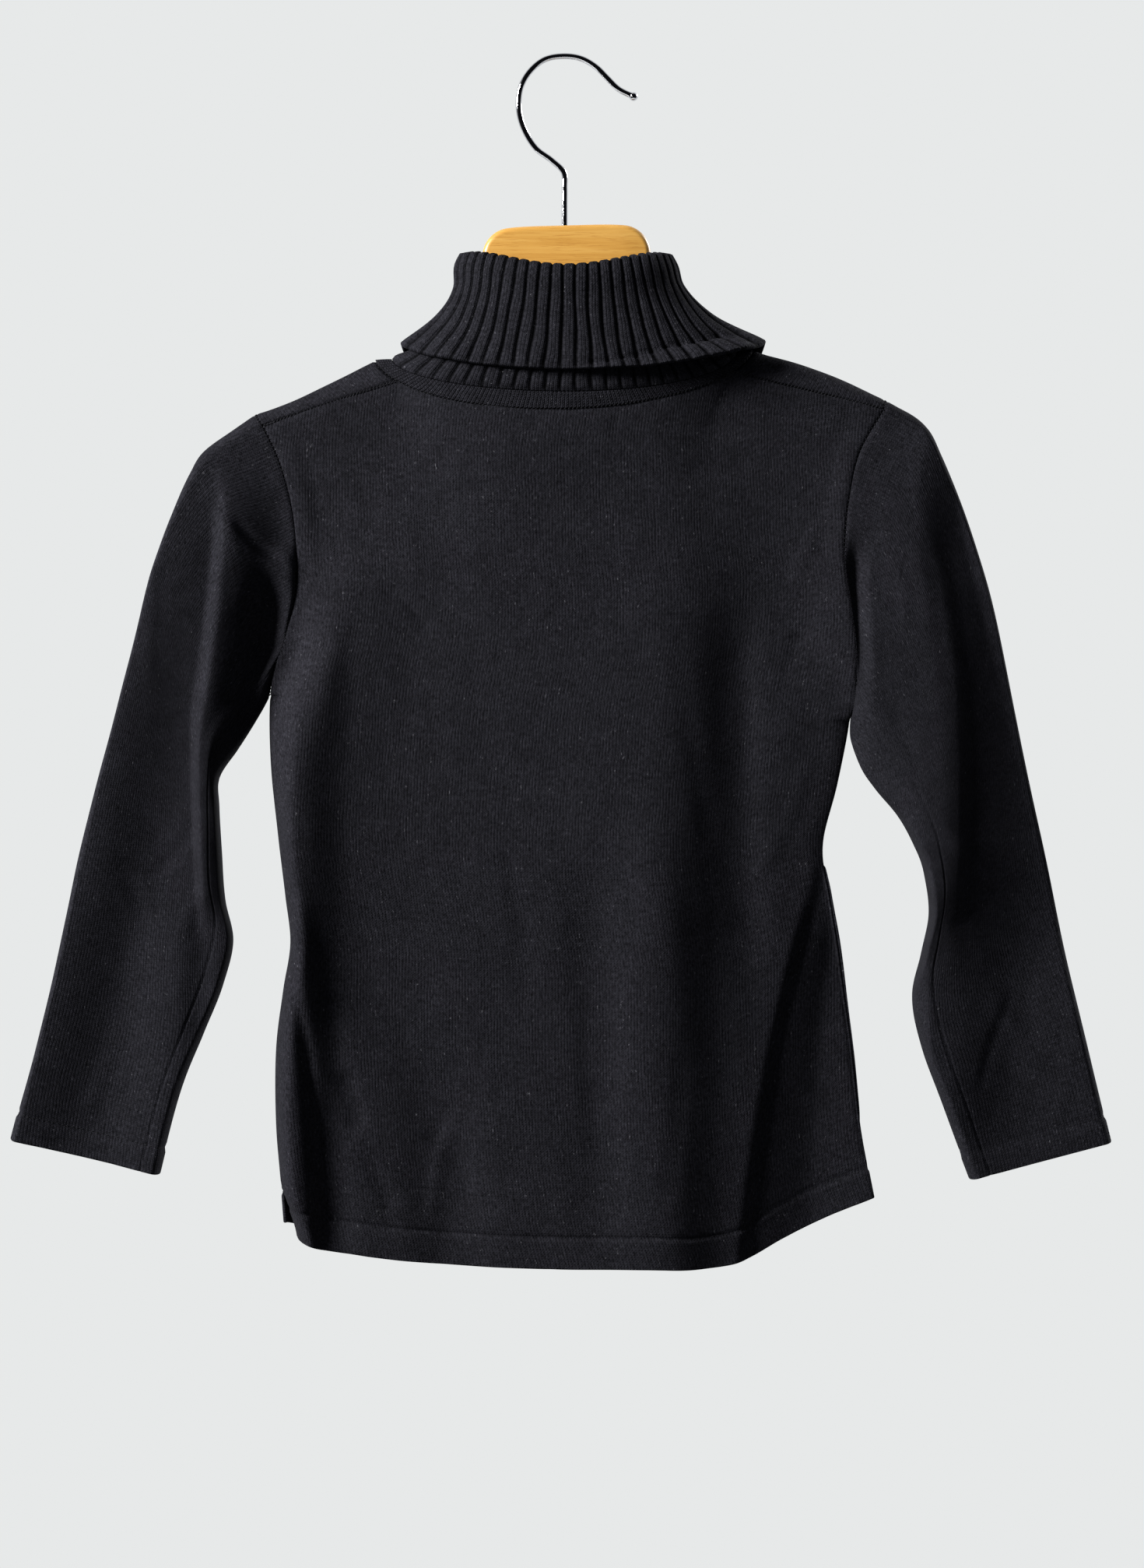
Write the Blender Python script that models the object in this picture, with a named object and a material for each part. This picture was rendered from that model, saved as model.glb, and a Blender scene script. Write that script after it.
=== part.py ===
"""A child's fine-knit roll-neck sweater, hanging on a flat wooden clothes hanger.

All sizes are in millimetres and become metres where a mesh is made.  The origin is the inside top of
the hanger's hook, +Z is up, the back of the sweater faces -Y and its wearer's left sleeve is at -X.
The sweater is worked out as one hanging surface and then parted along its seams: back, front, two
sleeves, the linked neck band and the ribbed collar, each a wall of cloth of its own.
"""
import math

import bmesh
import bpy
import numpy as np

MM = 0.001

# ---- cloth -------------------------------------------------------------------------------------
BODY_WALL = 1.4          # jersey of the body and sleeves
BAND_WALL = 2.0          # linked neck band, two layers of jersey
RIB_WALL = 2.0           # ribbed collar between its grooves
RIB_HEIGHT = 0.9         # how far a rib stands above its groove
RIB_COUNT = 46           # ribs round the collar
HEM_RAISE = 0.7          # the second layer of cloth in a hem
BAND_RAISE = 0.3         # the neck band stands this far above the jersey
SEAM_GAP = 0.3           # clear space between neighbouring pieces
ARMPIT_REACH = 16.0      # round an armpit, where four seams meet, the wall thins and the gap widens
ARMPIT_WALL = 0.7        # share of the wall that is left there
ARMPIT_GAP = 2.2         # the gap there, as a share of the seam gap
HEM_STATION = 0.025      # the body's hem and a sleeve's cuff hem, as shares of the length
CUFF_STATION = 0.0226

# ---- body --------------------------------------------------------------------------------------
# Side edges of the body: below the armpit the side fold, above it the armhole seam.
ARMPIT = 0.66            # station of the armpit
BODY_EDGE = (
    # station, left x, left z, right x, right z, depth of the armhole seam from the hanger's plane
    (0.00, -144.4, -601.2, 161.2, -589.2, 9.0),
    (0.05, -146.0, -580.0, 158.6, -576.0, 9.0),
    (0.14, -148.4, -549.0, 153.8, -549.0, 9.0),
    (0.24, -148.4, -510.0, 149.8, -512.0, 9.0),
    (0.33, -144.6, -480.0, 145.6, -481.0, 9.0),
    (0.40, -140.8, -455.0, 142.0, -456.0, 9.0),
    (0.46, -143.4, -432.0, 138.0, -433.0, 9.0),
    (0.54, -147.6, -399.0, 134.4, -404.0, 9.0),
    (0.60, -151.2, -364.0, 141.6, -375.0, 9.0),
    (0.66, -151.6, -328.8, 148.0, -342.4, 10.0),
    (0.75, -142.8, -297.0, 151.0, -306.0, 11.5),
    (0.81, -137.6, -276.0, 148.0, -281.0, 12.5),
    (0.87, -137.4, -253.0, 144.8, -256.0, 12.5),
    (0.92, -140.4, -229.0, 147.0, -228.0, 11.5),
    (0.96, -146.4, -208.0, 152.4, -204.0, 10.5),
    (1.00, -154.8, -190.0, 165.2, -181.2, 9.0),
)
UNDERARM_ROUND = 0.08    # stretch of the armhole that turns from the back to the front, as stations
# Lower edge of the back and of the front, read along the width of the body.
HEM = (
    # share of the width, z at the back, z at the front
    (0.00, -601.2, -601.2),
    (0.03, -609.5, -604.0),
    (0.11, -616.0, -606.0),
    (0.22, -620.0, -609.0),
    (0.40, -623.0, -612.0),
    (0.60, -623.6, -612.0),
    (0.70, -623.8, -610.0),
    (0.77, -620.6, -606.0),
    (0.84, -610.0, -601.0),
    (0.92, -598.6, -595.0),
    (1.00, -589.2, -589.2),
)
# How far the cloth stands off the hanger's plane, at the back and at the front.
STAND_OFF = (
    # station, back, front
    (0.00, 16.0, 13.0),
    (0.20, 17.0, 13.0),
    (0.45, 18.0, 13.0),
    (0.66, 17.5, 13.0),
    (0.82, 15.5, 12.5),
    (0.94, 12.5, 11.0),
    (1.00, 10.0, 10.0),
)
SIDE_ROUND = 15.0        # reach of the rounded side fold
SEAM_EASE = 34.0         # reach over which the body meets the armhole seam
SHOULDER_SHARE = 0.22    # share of the width from the armhole to the neck, each side
SHOULDER_RIDGE = {"left": (-159.2, -183.6, -1.5), "right": (166.4, -176.4, 2.5)}   # x, z, sag of the ridge

# ---- neck --------------------------------------------------------------------------------------
NECK_X = (-96.8, 97.6)   # neckline on the two shoulder ridges
NECK_Z = (-155.5, -150.5)
NECK_DROP = {"back": 29.0, "front": 68.5}
NECK_DEPTH = {"back": 19.0, "front": 19.0}
CORNER_BACK = 0.46       # sine of the angle where the shoulder seam meets the neckline
CORNER_FRONT = 0.30      # the same where the front turns over the shoulder
RIDGE_ROUND = 0.12       # how softly the neckline turns over a shoulder ridge
# Rings of the collar, along its middle, from the neck band up the stand and down the turned-over part.
COLLAR = (
    # left x, right x, left z, right z, back z, front z, back depth, front depth, dip, roundness, outer ribs,
    # crowding of the ribs towards both ends, their shift to the right as a share of half the width
    (-88.6, 90.0, -155.2, -151.2, -173.4, -212.0, 20.0, 20.0, 0.90, 0.65, 1.0, 0.02, 0.064),
    (-78.0, 80.0, -151.6, -147.0, -163.4, -196.0, 20.2, 20.0, 1.0, 0.65, 0.6, 0.08, 0.069),
    (-60.0, 63.0, -138.6, -134.0, -144.0, -168.0, 19.4, 18.8, 1.8, 0.75, 0.0, 0.22, 0.080),
    (-49.4, 53.4, -116.0, -115.0, -121.0, -133.0, 18.4, 17.8, 3.0, 1.0, 0.0, 0.30, 0.086),
    (-49.2, 51.8, -104.2, -104.6, -112.2, -116.0, 18.4, 17.8, 3.4, 1.0, 0.0, 0.31, 0.100),
    (-51.4, 54.0, -101.4, -101.9, -109.2, -113.0, 20.8, 20.2, 3.4, 1.0, 0.0, 0.31, 0.099),
    (-53.6, 56.3, -104.6, -105.2, -112.4, -117.0, 23.0, 22.4, 3.0, 1.0, 0.0, 0.28, 0.092),
    (-54.9, 60.4, -118.0, -117.5, -127.0, -139.0, 23.6, 23.0, 2.2, 0.95, 0.0, 0.31, 0.062),
    (-64.2, 76.4, -133.4, -133.8, -146.0, -167.0, 25.0, 24.2, 1.4, 0.85, 0.0, 0.20, 0.006),
    (-84.0, 104.0, -147.7, -147.7, -162.8, -194.0, 27.4, 25.8, 1.05, 0.78, 0.0, 0.0, -0.038),
)

# ---- sleeves -----------------------------------------------------------------------------------
# Outer and inner edge of each sleeve, from the armhole to the cuff, and how far it stands off.
SLEEVE = {
    "left": (
        # station, outer x, outer z, inner x, inner z, back, front
        (0.00, -159.2, -183.6, -151.6, -328.8, 12.0, 11.0),
        (0.05, -171.0, -191.8, -155.6, -336.0, 12.5, 11.0),
        (0.10, -184.6, -201.6, -161.0, -345.0, 13.5, 11.5),
        (0.17, -192.8, -214.5, -168.6, -357.0, 15.0, 12.0),
        (0.25, -201.0, -235.0, -177.4, -370.5, 17.0, 12.0),
        (0.36, -210.8, -263.0, -178.2, -388.0, 19.0, 12.0),
        (0.48, -221.8, -304.0, -176.8, -412.0, 19.0, 12.0),
        (0.58, -233.2, -346.0, -174.8, -436.0, 18.0, 12.0),
        (0.66, -241.6, -379.0, -170.8, -456.0, 16.5, 12.0),
        (0.74, -250.0, -414.0, -175.8, -478.0, 15.0, 11.5),
        (0.84, -261.2, -465.6, -186.4, -504.0, 13.5, 11.0),
        (0.93, -273.6, -515.0, -199.2, -536.0, 12.0, 10.0),
        (1.00, -284.8, -557.2, -209.2, -575.6, 11.0, 9.0),
    ),
    "right": (
        (0.00, 166.4, -176.4, 148.0, -342.4, 12.0, 11.0),
        (0.05, 180.8, -183.8, 148.8, -352.0, 12.5, 11.0),
        (0.10, 188.6, -191.0, 153.4, -365.0, 13.5, 11.5),
        (0.17, 195.4, -204.6, 161.2, -377.0, 15.0, 12.0),
        (0.25, 203.8, -225.0, 172.4, -390.0, 17.0, 12.0),
        (0.36, 213.6, -254.0, 181.6, -405.6, 19.0, 12.0),
        (0.48, 223.6, -290.0, 187.4, -422.0, 19.0, 12.0),
        (0.58, 234.0, -339.6, 189.4, -444.0, 17.5, 12.0),
        (0.66, 242.4, -380.0, 185.0, -463.0, 16.0, 12.0),
        (0.74, 250.6, -418.0, 180.2, -483.0, 15.0, 11.5),
        (0.84, 261.4, -471.0, 185.2, -511.0, 13.5, 11.0),
        (0.93, 272.6, -518.0, 196.8, -541.6, 12.0, 10.0),
        (1.00, 282.8, -558.8, 210.4, -578.0, 11.0, 9.0),
    ),
}
SLEEVE_ROUND = 15.0      # reach of the rounded outer and inner edges
ARMHOLE_EASE = 0.40      # station where a sleeve no longer follows the armhole's own shape
LEAST_HOLLOW = 8.0       # the two faces of a piece never come nearer than this

# ---- folds, each a soft ridge or trough along a slightly bowed line ------------------------------
BACK_FOLDS = (
    # top x, top z, bottom x, bottom z, bow, left reach, right reach at the top, at the bottom, rise
    (-133.0, -240.0, -131.0, -486.0, -3.0, 14.0, 16.0, 18.0, 7.0),      # ridge by the left side fold
    (-118.0, -262.0, -112.0, -560.0, -6.0, 14.0, 30.0, 36.0, -7.0),     # trough inside that ridge
    (-149.0, -452.0, -136.0, -590.0, -2.0, 16.0, 11.0, 11.0, -8.0),     # lap under it, low on the left
    (86.0, -235.0, 96.0, -470.0, -4.0, 48.0, 50.0, 44.0, -9.0),         # wide hollow, right of the middle
    (137.0, -400.0, 74.0, -690.0, -7.5, 42.0, 10.0, 10.0, 6.0),         # crest of the large right fold
    (149.0, -402.0, 88.0, -690.0, -8.0, 16.0, 14.0, 62.0, -20.0),       # the step behind that crest
    (36.0, -430.0, 30.0, -680.0, 2.0, 26.0, 28.0, 28.0, 4.0),           # soft ridge right of the middle
    (-62.0, -520.0, -50.0, -690.0, 0.0, 26.0, 30.0, 30.0, -3.5),        # dent left of the middle
    (-153.0, -230.0, -164.0, -348.0, 3.0, 24.0, 16.0, 14.0, -17.0),     # hollow, left sleeve and body
    (-179.0, -330.0, -171.0, -470.0, -6.0, 14.0, 14.0, 14.0, -10.0),    # its run down the left sleeve
    (-222.0, -236.0, -226.0, -470.0, 5.0, 22.0, 22.0, 22.0, -6.0),      # outer trough of the left sleeve
    (-204.0, -448.0, -238.0, -560.0, 4.0, 16.0, 20.0, 20.0, -4.0),      # forearm crease, left
    (167.0, -230.0, 155.0, -358.0, -3.0, 14.0, 26.0, 20.0, -17.0),      # hollow, right sleeve and body
    (203.0, -228.0, 200.0, -452.0, 6.0, 18.0, 18.0, 18.0, 4.0),         # ridge down the right sleeve
    (223.0, -262.0, 228.0, -470.0, 4.0, 18.0, 18.0, 18.0, -5.0),        # outer trough, right sleeve
    (236.0, -462.0, 208.0, -552.0, 4.0, 15.0, 18.0, 18.0, -5.0),        # forearm crease, right
)
FRONT_FOLDS = (
    (-120.0, -250.0, -110.0, -560.0, -5.0, 20.0, 26.0, 26.0, -4.0),
    (-78.0, -380.0, -70.0, -690.0, 3.0, 22.0, 26.0, 30.0, 3.0),
    (4.0, -330.0, -8.0, -690.0, -4.0, 34.0, 30.0, 34.0, -3.0),
    (66.0, -430.0, 58.0, -690.0, 3.0, 22.0, 20.0, 24.0, 3.5),
    (112.0, -250.0, 120.0, -520.0, 4.0, 28.0, 22.0, 22.0, -4.0),
    (-164.0, -240.0, -178.0, -400.0, 3.0, 16.0, 14.0, 14.0, -4.0),
    (-214.0, -260.0, -232.0, -480.0, -4.0, 18.0, 18.0, 18.0, -3.0),
    (-214.0, -450.0, -240.0, -560.0, 3.0, 16.0, 16.0, 16.0, -2.5),
    (162.0, -240.0, 176.0, -400.0, -3.0, 16.0, 16.0, 16.0, -4.0),
    (216.0, -260.0, 230.0, -480.0, 4.0, 18.0, 18.0, 18.0, -3.0),
    (214.0, -460.0, 240.0, -560.0, -3.0, 16.0, 16.0, 16.0, -2.5),
)

FOLD_FADE = 0.25         # share of its length over which a fold comes up and dies away at each end

# ---- hanger ------------------------------------------------------------------------------------
WOOD_THICK = 10.0
WOOD_ROUND = 3.0         # rounded edges of the plate
WOOD_TILT = 1.5          # degrees, the right arm is the higher one
WOOD_MIDDLE = (1.4, -95.0)
# Right half of the plate's outline in its own frame: from the middle of the top round to the bottom.
WOOD_OUTLINE = (
    # x from the middle, z from the middle, how far a handle reaches along the edge, its direction
    (0.0, 9.0, 14.0, 0.0),
    (31.0, 8.2, 7.0, -8.0),
    (43.4, -5.0, 6.0, -86.0),
    (44.2, -24.0, 8.0, -82.0),
    (60.0, -57.0, 10.0, -40.0),
    (98.0, -70.5, 12.0, -22.0),
    (158.0, -97.0, 12.0, -25.0),
    (178.5, -107.5, 4.0, -38.0),
    (184.5, -115.0, 3.0, -80.0),
    (179.0, -121.5, 3.0, -178.0),
    (150.0, -114.0, 16.0, 157.0),
    (84.0, -91.0, 18.0, 164.0),
    (0.0, -84.0, 22.0, 180.0),
)
WIRE = 3.2               # hook wire
BALL = 4.6               # ball on the end of the hook
STEM_X = 0.6
WOOD_TOP = -86.2         # where the stem enters the wood
STEM_IN_WOOD = 14.0
HOLE_PLAY = 0.35         # clear space round the stem and under its end
# Middle of the wire, from the stem round to the ball; the inside top of the bend is the origin.
HOOK_BEND = (
    # x, z
    (0.6, -66.0),
    (0.2, -58.6),
    (-5.8, -52.4),
    (-14.0, -46.2),
    (-19.2, -38.6),
    (-22.4, -30.2),
    (-23.2, -22.0),
    (-21.8, -13.8),
    (-17.2, -6.0),
    (-9.8, -0.1),
    (-0.6, 1.7),
    (9.0, 0.5),
    (17.2, -4.2),
    (22.6, -9.6),
    (28.6, -15.4),
    (36.2, -19.2),
)

# ---- how finely the pieces are cut into faces ----------------------------------------------------
SHOULDER_COLUMNS = (0.0, 0.05, 0.14, 0.264, 0.409, 0.59, 0.79, 1.0)
BACK_COLUMNS = 12        # between the two neck corners
FRONT_COLUMNS = 11
BODY_ROWS = 12           # from the hem to the armpit
ARMHOLE_ROWS = (0.0, 0.04, 0.12, 0.24, 0.39, 0.56, 0.73, 0.88, 1.0)
OVER_SHOULDER = 6        # faces from the front over the ridge to the shoulder seam
SLEEVE_ROWS = 16
RIB_POINTS = (0.0, 0.9, 1.0)   # height of the three points of a rib: groove and two of its crown
# Two columns of the back lean to follow the large right fold: its crest and the foot of the step.
FOLD_COLUMNS = (
    # station, share of the width at the crest, at the foot
    (0.00, 0.768, 0.820),
    (0.11, 0.804, 0.856),
    (0.25, 0.852, 0.896),
    (0.36, 0.896, 0.930),
    (0.46, 0.910, 0.942),
    (1.00, 0.910, 0.942),
)

COLOURS = {
    "knit": ((0.016, 0.015, 0.019, 1.0), 0.9, 0.0),
    "rib": ((0.017, 0.016, 0.020, 1.0), 0.9, 0.0),
    "wood": ((0.74, 0.41, 0.08, 1.0), 0.35, 0.0),
    "chrome": ((0.62, 0.62, 0.64, 1.0), 0.12, 1.0),
}


# ---- curves and folds ----------------------------------------------------------------------------
def read(table, at):
    """Smooth curve through a table's rows: the first column is the station, the rest are returned."""
    rows = np.array(table)
    station, values = rows[:, 0], rows[:, 1:]
    slope = np.gradient(values, station, axis=0)
    at = np.asarray(at, float)
    low = np.clip(np.searchsorted(station, at, side="right") - 1, 0, len(station) - 2)
    span = (station[low + 1] - station[low])[..., None]
    t = (at[..., None] - station[low][..., None]) / span
    return (values[low] * (2 * t**3 - 3 * t**2 + 1) + slope[low] * span * (t**3 - 2 * t**2 + t)
            + values[low + 1] * (3 * t**2 - 2 * t**3) + slope[low + 1] * span * (t**3 - t**2))


def ease(t):
    """Rise from 0 to 1 with level ends."""
    t = np.clip(t, 0.0, 1.0)
    return t * t * (3.0 - 2.0 * t)


def round_edge(distance, reach):
    """Quarter of an ellipse: 0 at the edge, where the cloth turns over, and 1 at its reach."""
    t = 1.0 - np.clip(distance / reach, 0.0, 1.0)
    return np.sqrt(1.0 - t * t)


def fold_rise(table, x, z):
    """Sum of the folds' heights: across each one a raised cosine, along it a smooth start and end."""
    total = np.zeros_like(x)
    for top_x, top_z, bottom_x, bottom_z, bow, left, right_top, right_bottom, rise in table:
        length = math.hypot(bottom_x - top_x, bottom_z - top_z)
        along_x, along_z = (bottom_x - top_x) / length, (bottom_z - top_z) / length
        along = ((x - top_x) * along_x + (z - top_z) * along_z) / length
        across = (z - top_z) * along_x - (x - top_x) * along_z - bow * 4.0 * along * (1.0 - along)
        right = right_top + (right_bottom - right_top) * np.clip(along, 0.0, 1.0)
        share = np.clip(np.where(across < 0.0, across / left, across / right), -1.0, 1.0)
        ends = ease(along / FOLD_FADE) * ease((1.0 - along) / FOLD_FADE)
        total += rise * 0.5 * (1.0 + np.cos(np.pi * share)) * ends
    return total


def keep_apart(back, front):
    """Let the two faces of a tube come no nearer than the least hollow; the front one stays."""
    return np.maximum(back, LEAST_HOLLOW - front)


# ---- neck and shoulder lines ---------------------------------------------------------------------
def over_ridge(size):
    """From 0 on a shoulder ridge to 1 at the middle of the back or front, rounded over the ridge."""
    return (np.hypot(size, RIDGE_ROUND) - RIDGE_ROUND) / (math.hypot(1.0, RIDGE_ROUND) - RIDGE_ROUND)


def neckline(angle):
    """Neckline as a ring: 0 is the right ridge, a quarter turn the back, half the left ridge."""
    across, deep = np.cos(angle), np.sin(angle)
    behind = deep >= 0.0
    size = np.abs(deep)
    x = (NECK_X[0] + NECK_X[1]) / 2 + (NECK_X[1] - NECK_X[0]) / 2 * across
    y = np.where(behind, -NECK_DEPTH["back"] * size**0.75, NECK_DEPTH["front"] * size**0.6)
    side_z = (NECK_Z[0] + NECK_Z[1]) / 2 + (NECK_Z[1] - NECK_Z[0]) / 2 * across
    z = side_z - np.where(behind, NECK_DROP["back"], NECK_DROP["front"]) * over_ridge(size)
    return np.stack([x, y, z], axis=-1)


def corner_angle(face, side):
    """Angle on the neckline where the shoulder line of a face meets it."""
    turn = math.asin(CORNER_BACK) if face == "back" else -math.asin(CORNER_FRONT)
    return turn if side == "right" else math.pi - turn


def columns(face):
    """Shares of the width at which a face is cut into columns, the neck corners among them."""
    shoulder = np.array(SHOULDER_COLUMNS) * SHOULDER_SHARE
    count = BACK_COLUMNS if face == "back" else FRONT_COLUMNS
    middle = np.linspace(SHOULDER_SHARE, 1.0 - SHOULDER_SHARE, count + 1)
    return np.concatenate([shoulder, middle[1:-1], 1.0 - shoulder[::-1]])


def rows():
    """Stations of the body's rows: the hem, its stitched edge, the side and the armhole."""
    side = np.linspace(0.07, ARMPIT, BODY_ROWS)
    armhole = ARMPIT + (1.0 - ARMPIT) * np.array(ARMHOLE_ROWS)
    return np.concatenate([[0.0, HEM_STATION, HEM_STATION + 0.004], side[:-1], armhole])


def body_edge(side, face, station):
    """Points of the side fold and armhole seam of one face."""
    left_x, left_z, right_x, right_z, depth = np.moveaxis(read(BODY_EDGE, station), -1, 0)
    depth = depth * round_edge(station - ARMPIT, UNDERARM_ROUND)
    y = -depth if face == "back" else depth
    x, z = (left_x, left_z) if side == "left" else (right_x, right_z)
    return np.stack([x, y, z], axis=-1)


def top_line(face, share):
    """Upper edge of a face: shoulder, neckline, shoulder."""
    corners = [neckline(np.array(corner_angle(face, side))) for side in ("left", "right")]
    tips = [body_edge(side, face, np.array(1.0)) for side in ("left", "right")]
    left = (share / SHOULDER_SHARE)[..., None]
    right = ((1.0 - share) / SHOULDER_SHARE)[..., None]
    start, end = corner_angle(face, "left"), corner_angle(face, "right")
    middle = (share - SHOULDER_SHARE) / (1.0 - 2.0 * SHOULDER_SHARE)
    if face == "front":
        end += 2.0 * math.pi
    ring = neckline(start + (end - start) * np.clip(middle, 0.0, 1.0))
    line = np.where(left < 1.0, tips[0] + (corners[0] - tips[0]) * left, ring)
    return np.where(right < 1.0, tips[1] + (corners[1] - tips[1]) * right, line)


# ---- body ----------------------------------------------------------------------------------------
def lean(share, station):
    """Shares of the width moved so that two of the columns run along the large right fold."""
    crest, foot = np.moveaxis(read(FOLD_COLUMNS, station), -1, 0)
    top_crest, top_foot = FOLD_COLUMNS[-1][1:]
    before = share * crest / top_crest
    between = crest + (share - top_crest) * (foot - crest) / (top_foot - top_crest)
    after = foot + (share - top_foot) * (1.0 - foot) / (1.0 - top_foot)
    return np.where(share <= top_crest, before, np.where(share <= top_foot, between, after))


def body_face(face, share, station):
    """Points of the back or front: a patch between hem, sides and top line, stood off and folded."""
    share, station = np.meshgrid(share, station)
    if face == "back":
        share = lean(share, station)
    hem = read(HEM, share)[..., 0 if face == "back" else 1]
    low_left, low_right = body_edge("left", face, np.zeros(())), body_edge("right", face, np.zeros(()))
    left, right = body_edge("left", face, station), body_edge("right", face, station)
    top = top_line(face, share)
    top_left, top_right = top_line(face, np.array([0.0, 1.0]))
    bottom_x = low_left[0] + (low_right[0] - low_left[0]) * share
    x = ((1 - station) * bottom_x + station * top[..., 0] + (1 - share) * left[..., 0]
         + share * right[..., 0] - (1 - station) * bottom_x
         - station * ((1 - share) * top_left[0] + share * top_right[0]))
    z = ((1 - station) * hem + station * top[..., 2] + (1 - share) * left[..., 2]
         + share * right[..., 2] - (1 - station) * ((1 - share) * low_left[2] + share * low_right[2])
         - station * ((1 - share) * top_left[2] + share * top_right[2]))

    from_left, from_right = x - left[..., 0], right[..., 0] - x
    rounded = round_edge(from_left, SIDE_ROUND) * round_edge(from_right, SIDE_ROUND)
    seam_rise = ease(from_left / SEAM_EASE) * ease(from_right / SEAM_EASE)
    above = ease((station - ARMPIT + 0.06) / 0.12)
    turn = rounded * (1.0 - above) + seam_rise * above
    edge_depth = (1 - share) * np.abs(left[..., 1]) + share * np.abs(right[..., 1])
    off = read(STAND_OFF, station)
    depth = {}
    for name, column, folds in (("back", 0, BACK_FOLDS), ("front", 1, FRONT_FOLDS)):
        plain = edge_depth + (off[..., column] - edge_depth) * turn
        depth[name] = plain + fold_rise(folds, x, z) * np.maximum(rounded * (1 - above), turn)
    depth["back"] = np.where(turn > 0.6, keep_apart(depth["back"], depth["front"]), depth["back"])
    deep = depth[face]
    to_top = ease((station - 0.78) / 0.22)
    deep = deep + (np.abs(top[..., 1]) - deep) * to_top * ease(turn * 3.0 + (station >= 1.0))
    y = -deep if face == "back" else deep
    points = np.stack([x, y, z], axis=-1)
    points = np.where((share == 0.0)[..., None], left, points)
    return np.where((share == 1.0)[..., None], right, points)


def over_shoulder(side, front_line, back_line):
    """Strip of the front that lies over the shoulder ridge, from the front to the shoulder seam.

    It is a patch between the front's upper edge, the seam and the two end arcs: round the ridge at
    the armhole, and along the neckline at the neck.
    """
    along = np.array(SHOULDER_COLUMNS)
    over = np.linspace(0.0, 1.0, OVER_SHOULDER + 1)
    if side == "right":
        along = along[::-1]
    arm_arc = shoulder_arc(side, over)
    start, end = corner_angle("front", side), corner_angle("back", side)
    neck_arc = neckline(start + (end - start) * over)
    p, a = along[None, :, None], over[:, None, None]
    first, last = (0, -1) if side == "left" else (-1, 0)
    patch = ((1 - a) * front_line[None] + a * back_line[None]
             + (1 - p) * arm_arc[:, None] + p * neck_arc[:, None]
             - (1 - p) * ((1 - a) * front_line[first] + a * back_line[first])
             - p * ((1 - a) * front_line[last] + a * back_line[last]))
    sag = SHOULDER_RIDGE[side][2]
    patch[..., 2] += sag * 4.0 * p[..., 0] * (1 - p[..., 0]) * np.sin(np.pi * a[..., 0])
    return patch


def shoulder_arc(side, over):
    """Arc over the shoulder ridge at the armhole, from the front to the back."""
    ridge_x, ridge_z, _ = SHOULDER_RIDGE[side]
    tip = body_edge(side, "back", np.array(1.0))
    turn = np.sin(np.pi * over)
    x = tip[0] + (ridge_x - tip[0]) * turn
    y = -tip[1] * np.cos(np.pi * over)
    z = tip[2] + (ridge_z - tip[2]) * turn
    return np.stack([x, y, z], axis=-1)


# ---- sleeves -------------------------------------------------------------------------------------
def armhole_ring(side):
    """Closed ring of the armhole: up the back, over the shoulder, down the front to the armpit."""
    station = ARMPIT + (1.0 - ARMPIT) * np.array(ARMHOLE_ROWS)
    back = body_edge(side, "back", station)
    front = body_edge(side, "front", station)[::-1]
    arc = shoulder_arc(side, np.linspace(1.0, 0.0, OVER_SHOULDER + 1))
    ring = np.concatenate([back, arc[1:-1], front[:-1]])
    on_back = np.concatenate([np.ones(len(back)), arc[1:-1, 1] <= 0.0, np.zeros(len(front) - 1)])
    return ring, on_back.astype(bool)


def sleeve_shape(side, down, on_back, station):
    """Flattened tube between its outer and inner edge, stood off the plane, rounded and folded."""
    outer_x, outer_z, inner_x, inner_z, back, front = np.moveaxis(read(SLEEVE[side], station), -1, 0)
    x = outer_x + (inner_x - outer_x) * down
    z = outer_z + (inner_z - outer_z) * down
    width = np.hypot(inner_x - outer_x, inner_z - outer_z)
    rounded = round_edge(down * width, SLEEVE_ROUND) * round_edge((1.0 - down) * width, SLEEVE_ROUND)
    front_depth = (front + fold_rise(FRONT_FOLDS, x, z)) * rounded
    back_depth = (back + fold_rise(BACK_FOLDS, x, z)) * rounded
    back_depth = np.where(rounded > 0.8, keep_apart(back_depth, front_depth), back_depth)
    return np.stack([x, np.where(on_back, -back_depth, front_depth), z], axis=-1)


def sleeve(side):
    """Points of a sleeve: rings from the armhole to the cuff."""
    ring, on_back = armhole_ring(side)
    ridge_z, armpit_z = SHOULDER_RIDGE[side][1], ring[0, 2]
    down = np.clip((ridge_z - ring[:, 2]) / (ridge_z - armpit_z), 0.0, 1.0)
    cuff_top = 1.0 - CUFF_STATION
    plain = np.linspace(0.0, 1.0, SLEEVE_ROWS) ** 1.25 * 0.955
    station = np.concatenate([plain, [cuff_top - 0.004, cuff_top, 1.0]])
    shape = sleeve_shape(side, down[None], on_back[None], station[:, None])
    rest = ring - sleeve_shape(side, down, on_back, np.zeros_like(down))
    return shape + rest[None] * (1.0 - ease(station / ARMHOLE_EASE))[:, None, None], station >= cuff_top


# ---- walls of cloth ------------------------------------------------------------------------------
def grid_faces(row_count, column_count, closed=False):
    """Four-sided faces of a grid of points, row by row."""
    index = np.arange(row_count * column_count).reshape(row_count, column_count)
    if closed:
        index = np.concatenate([index, index[:, :1]], axis=1)
    faces = np.stack([index[:-1, :-1], index[:-1, 1:], index[1:, 1:], index[1:, :-1]], axis=-1)
    return faces.reshape(-1, 4)


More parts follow.
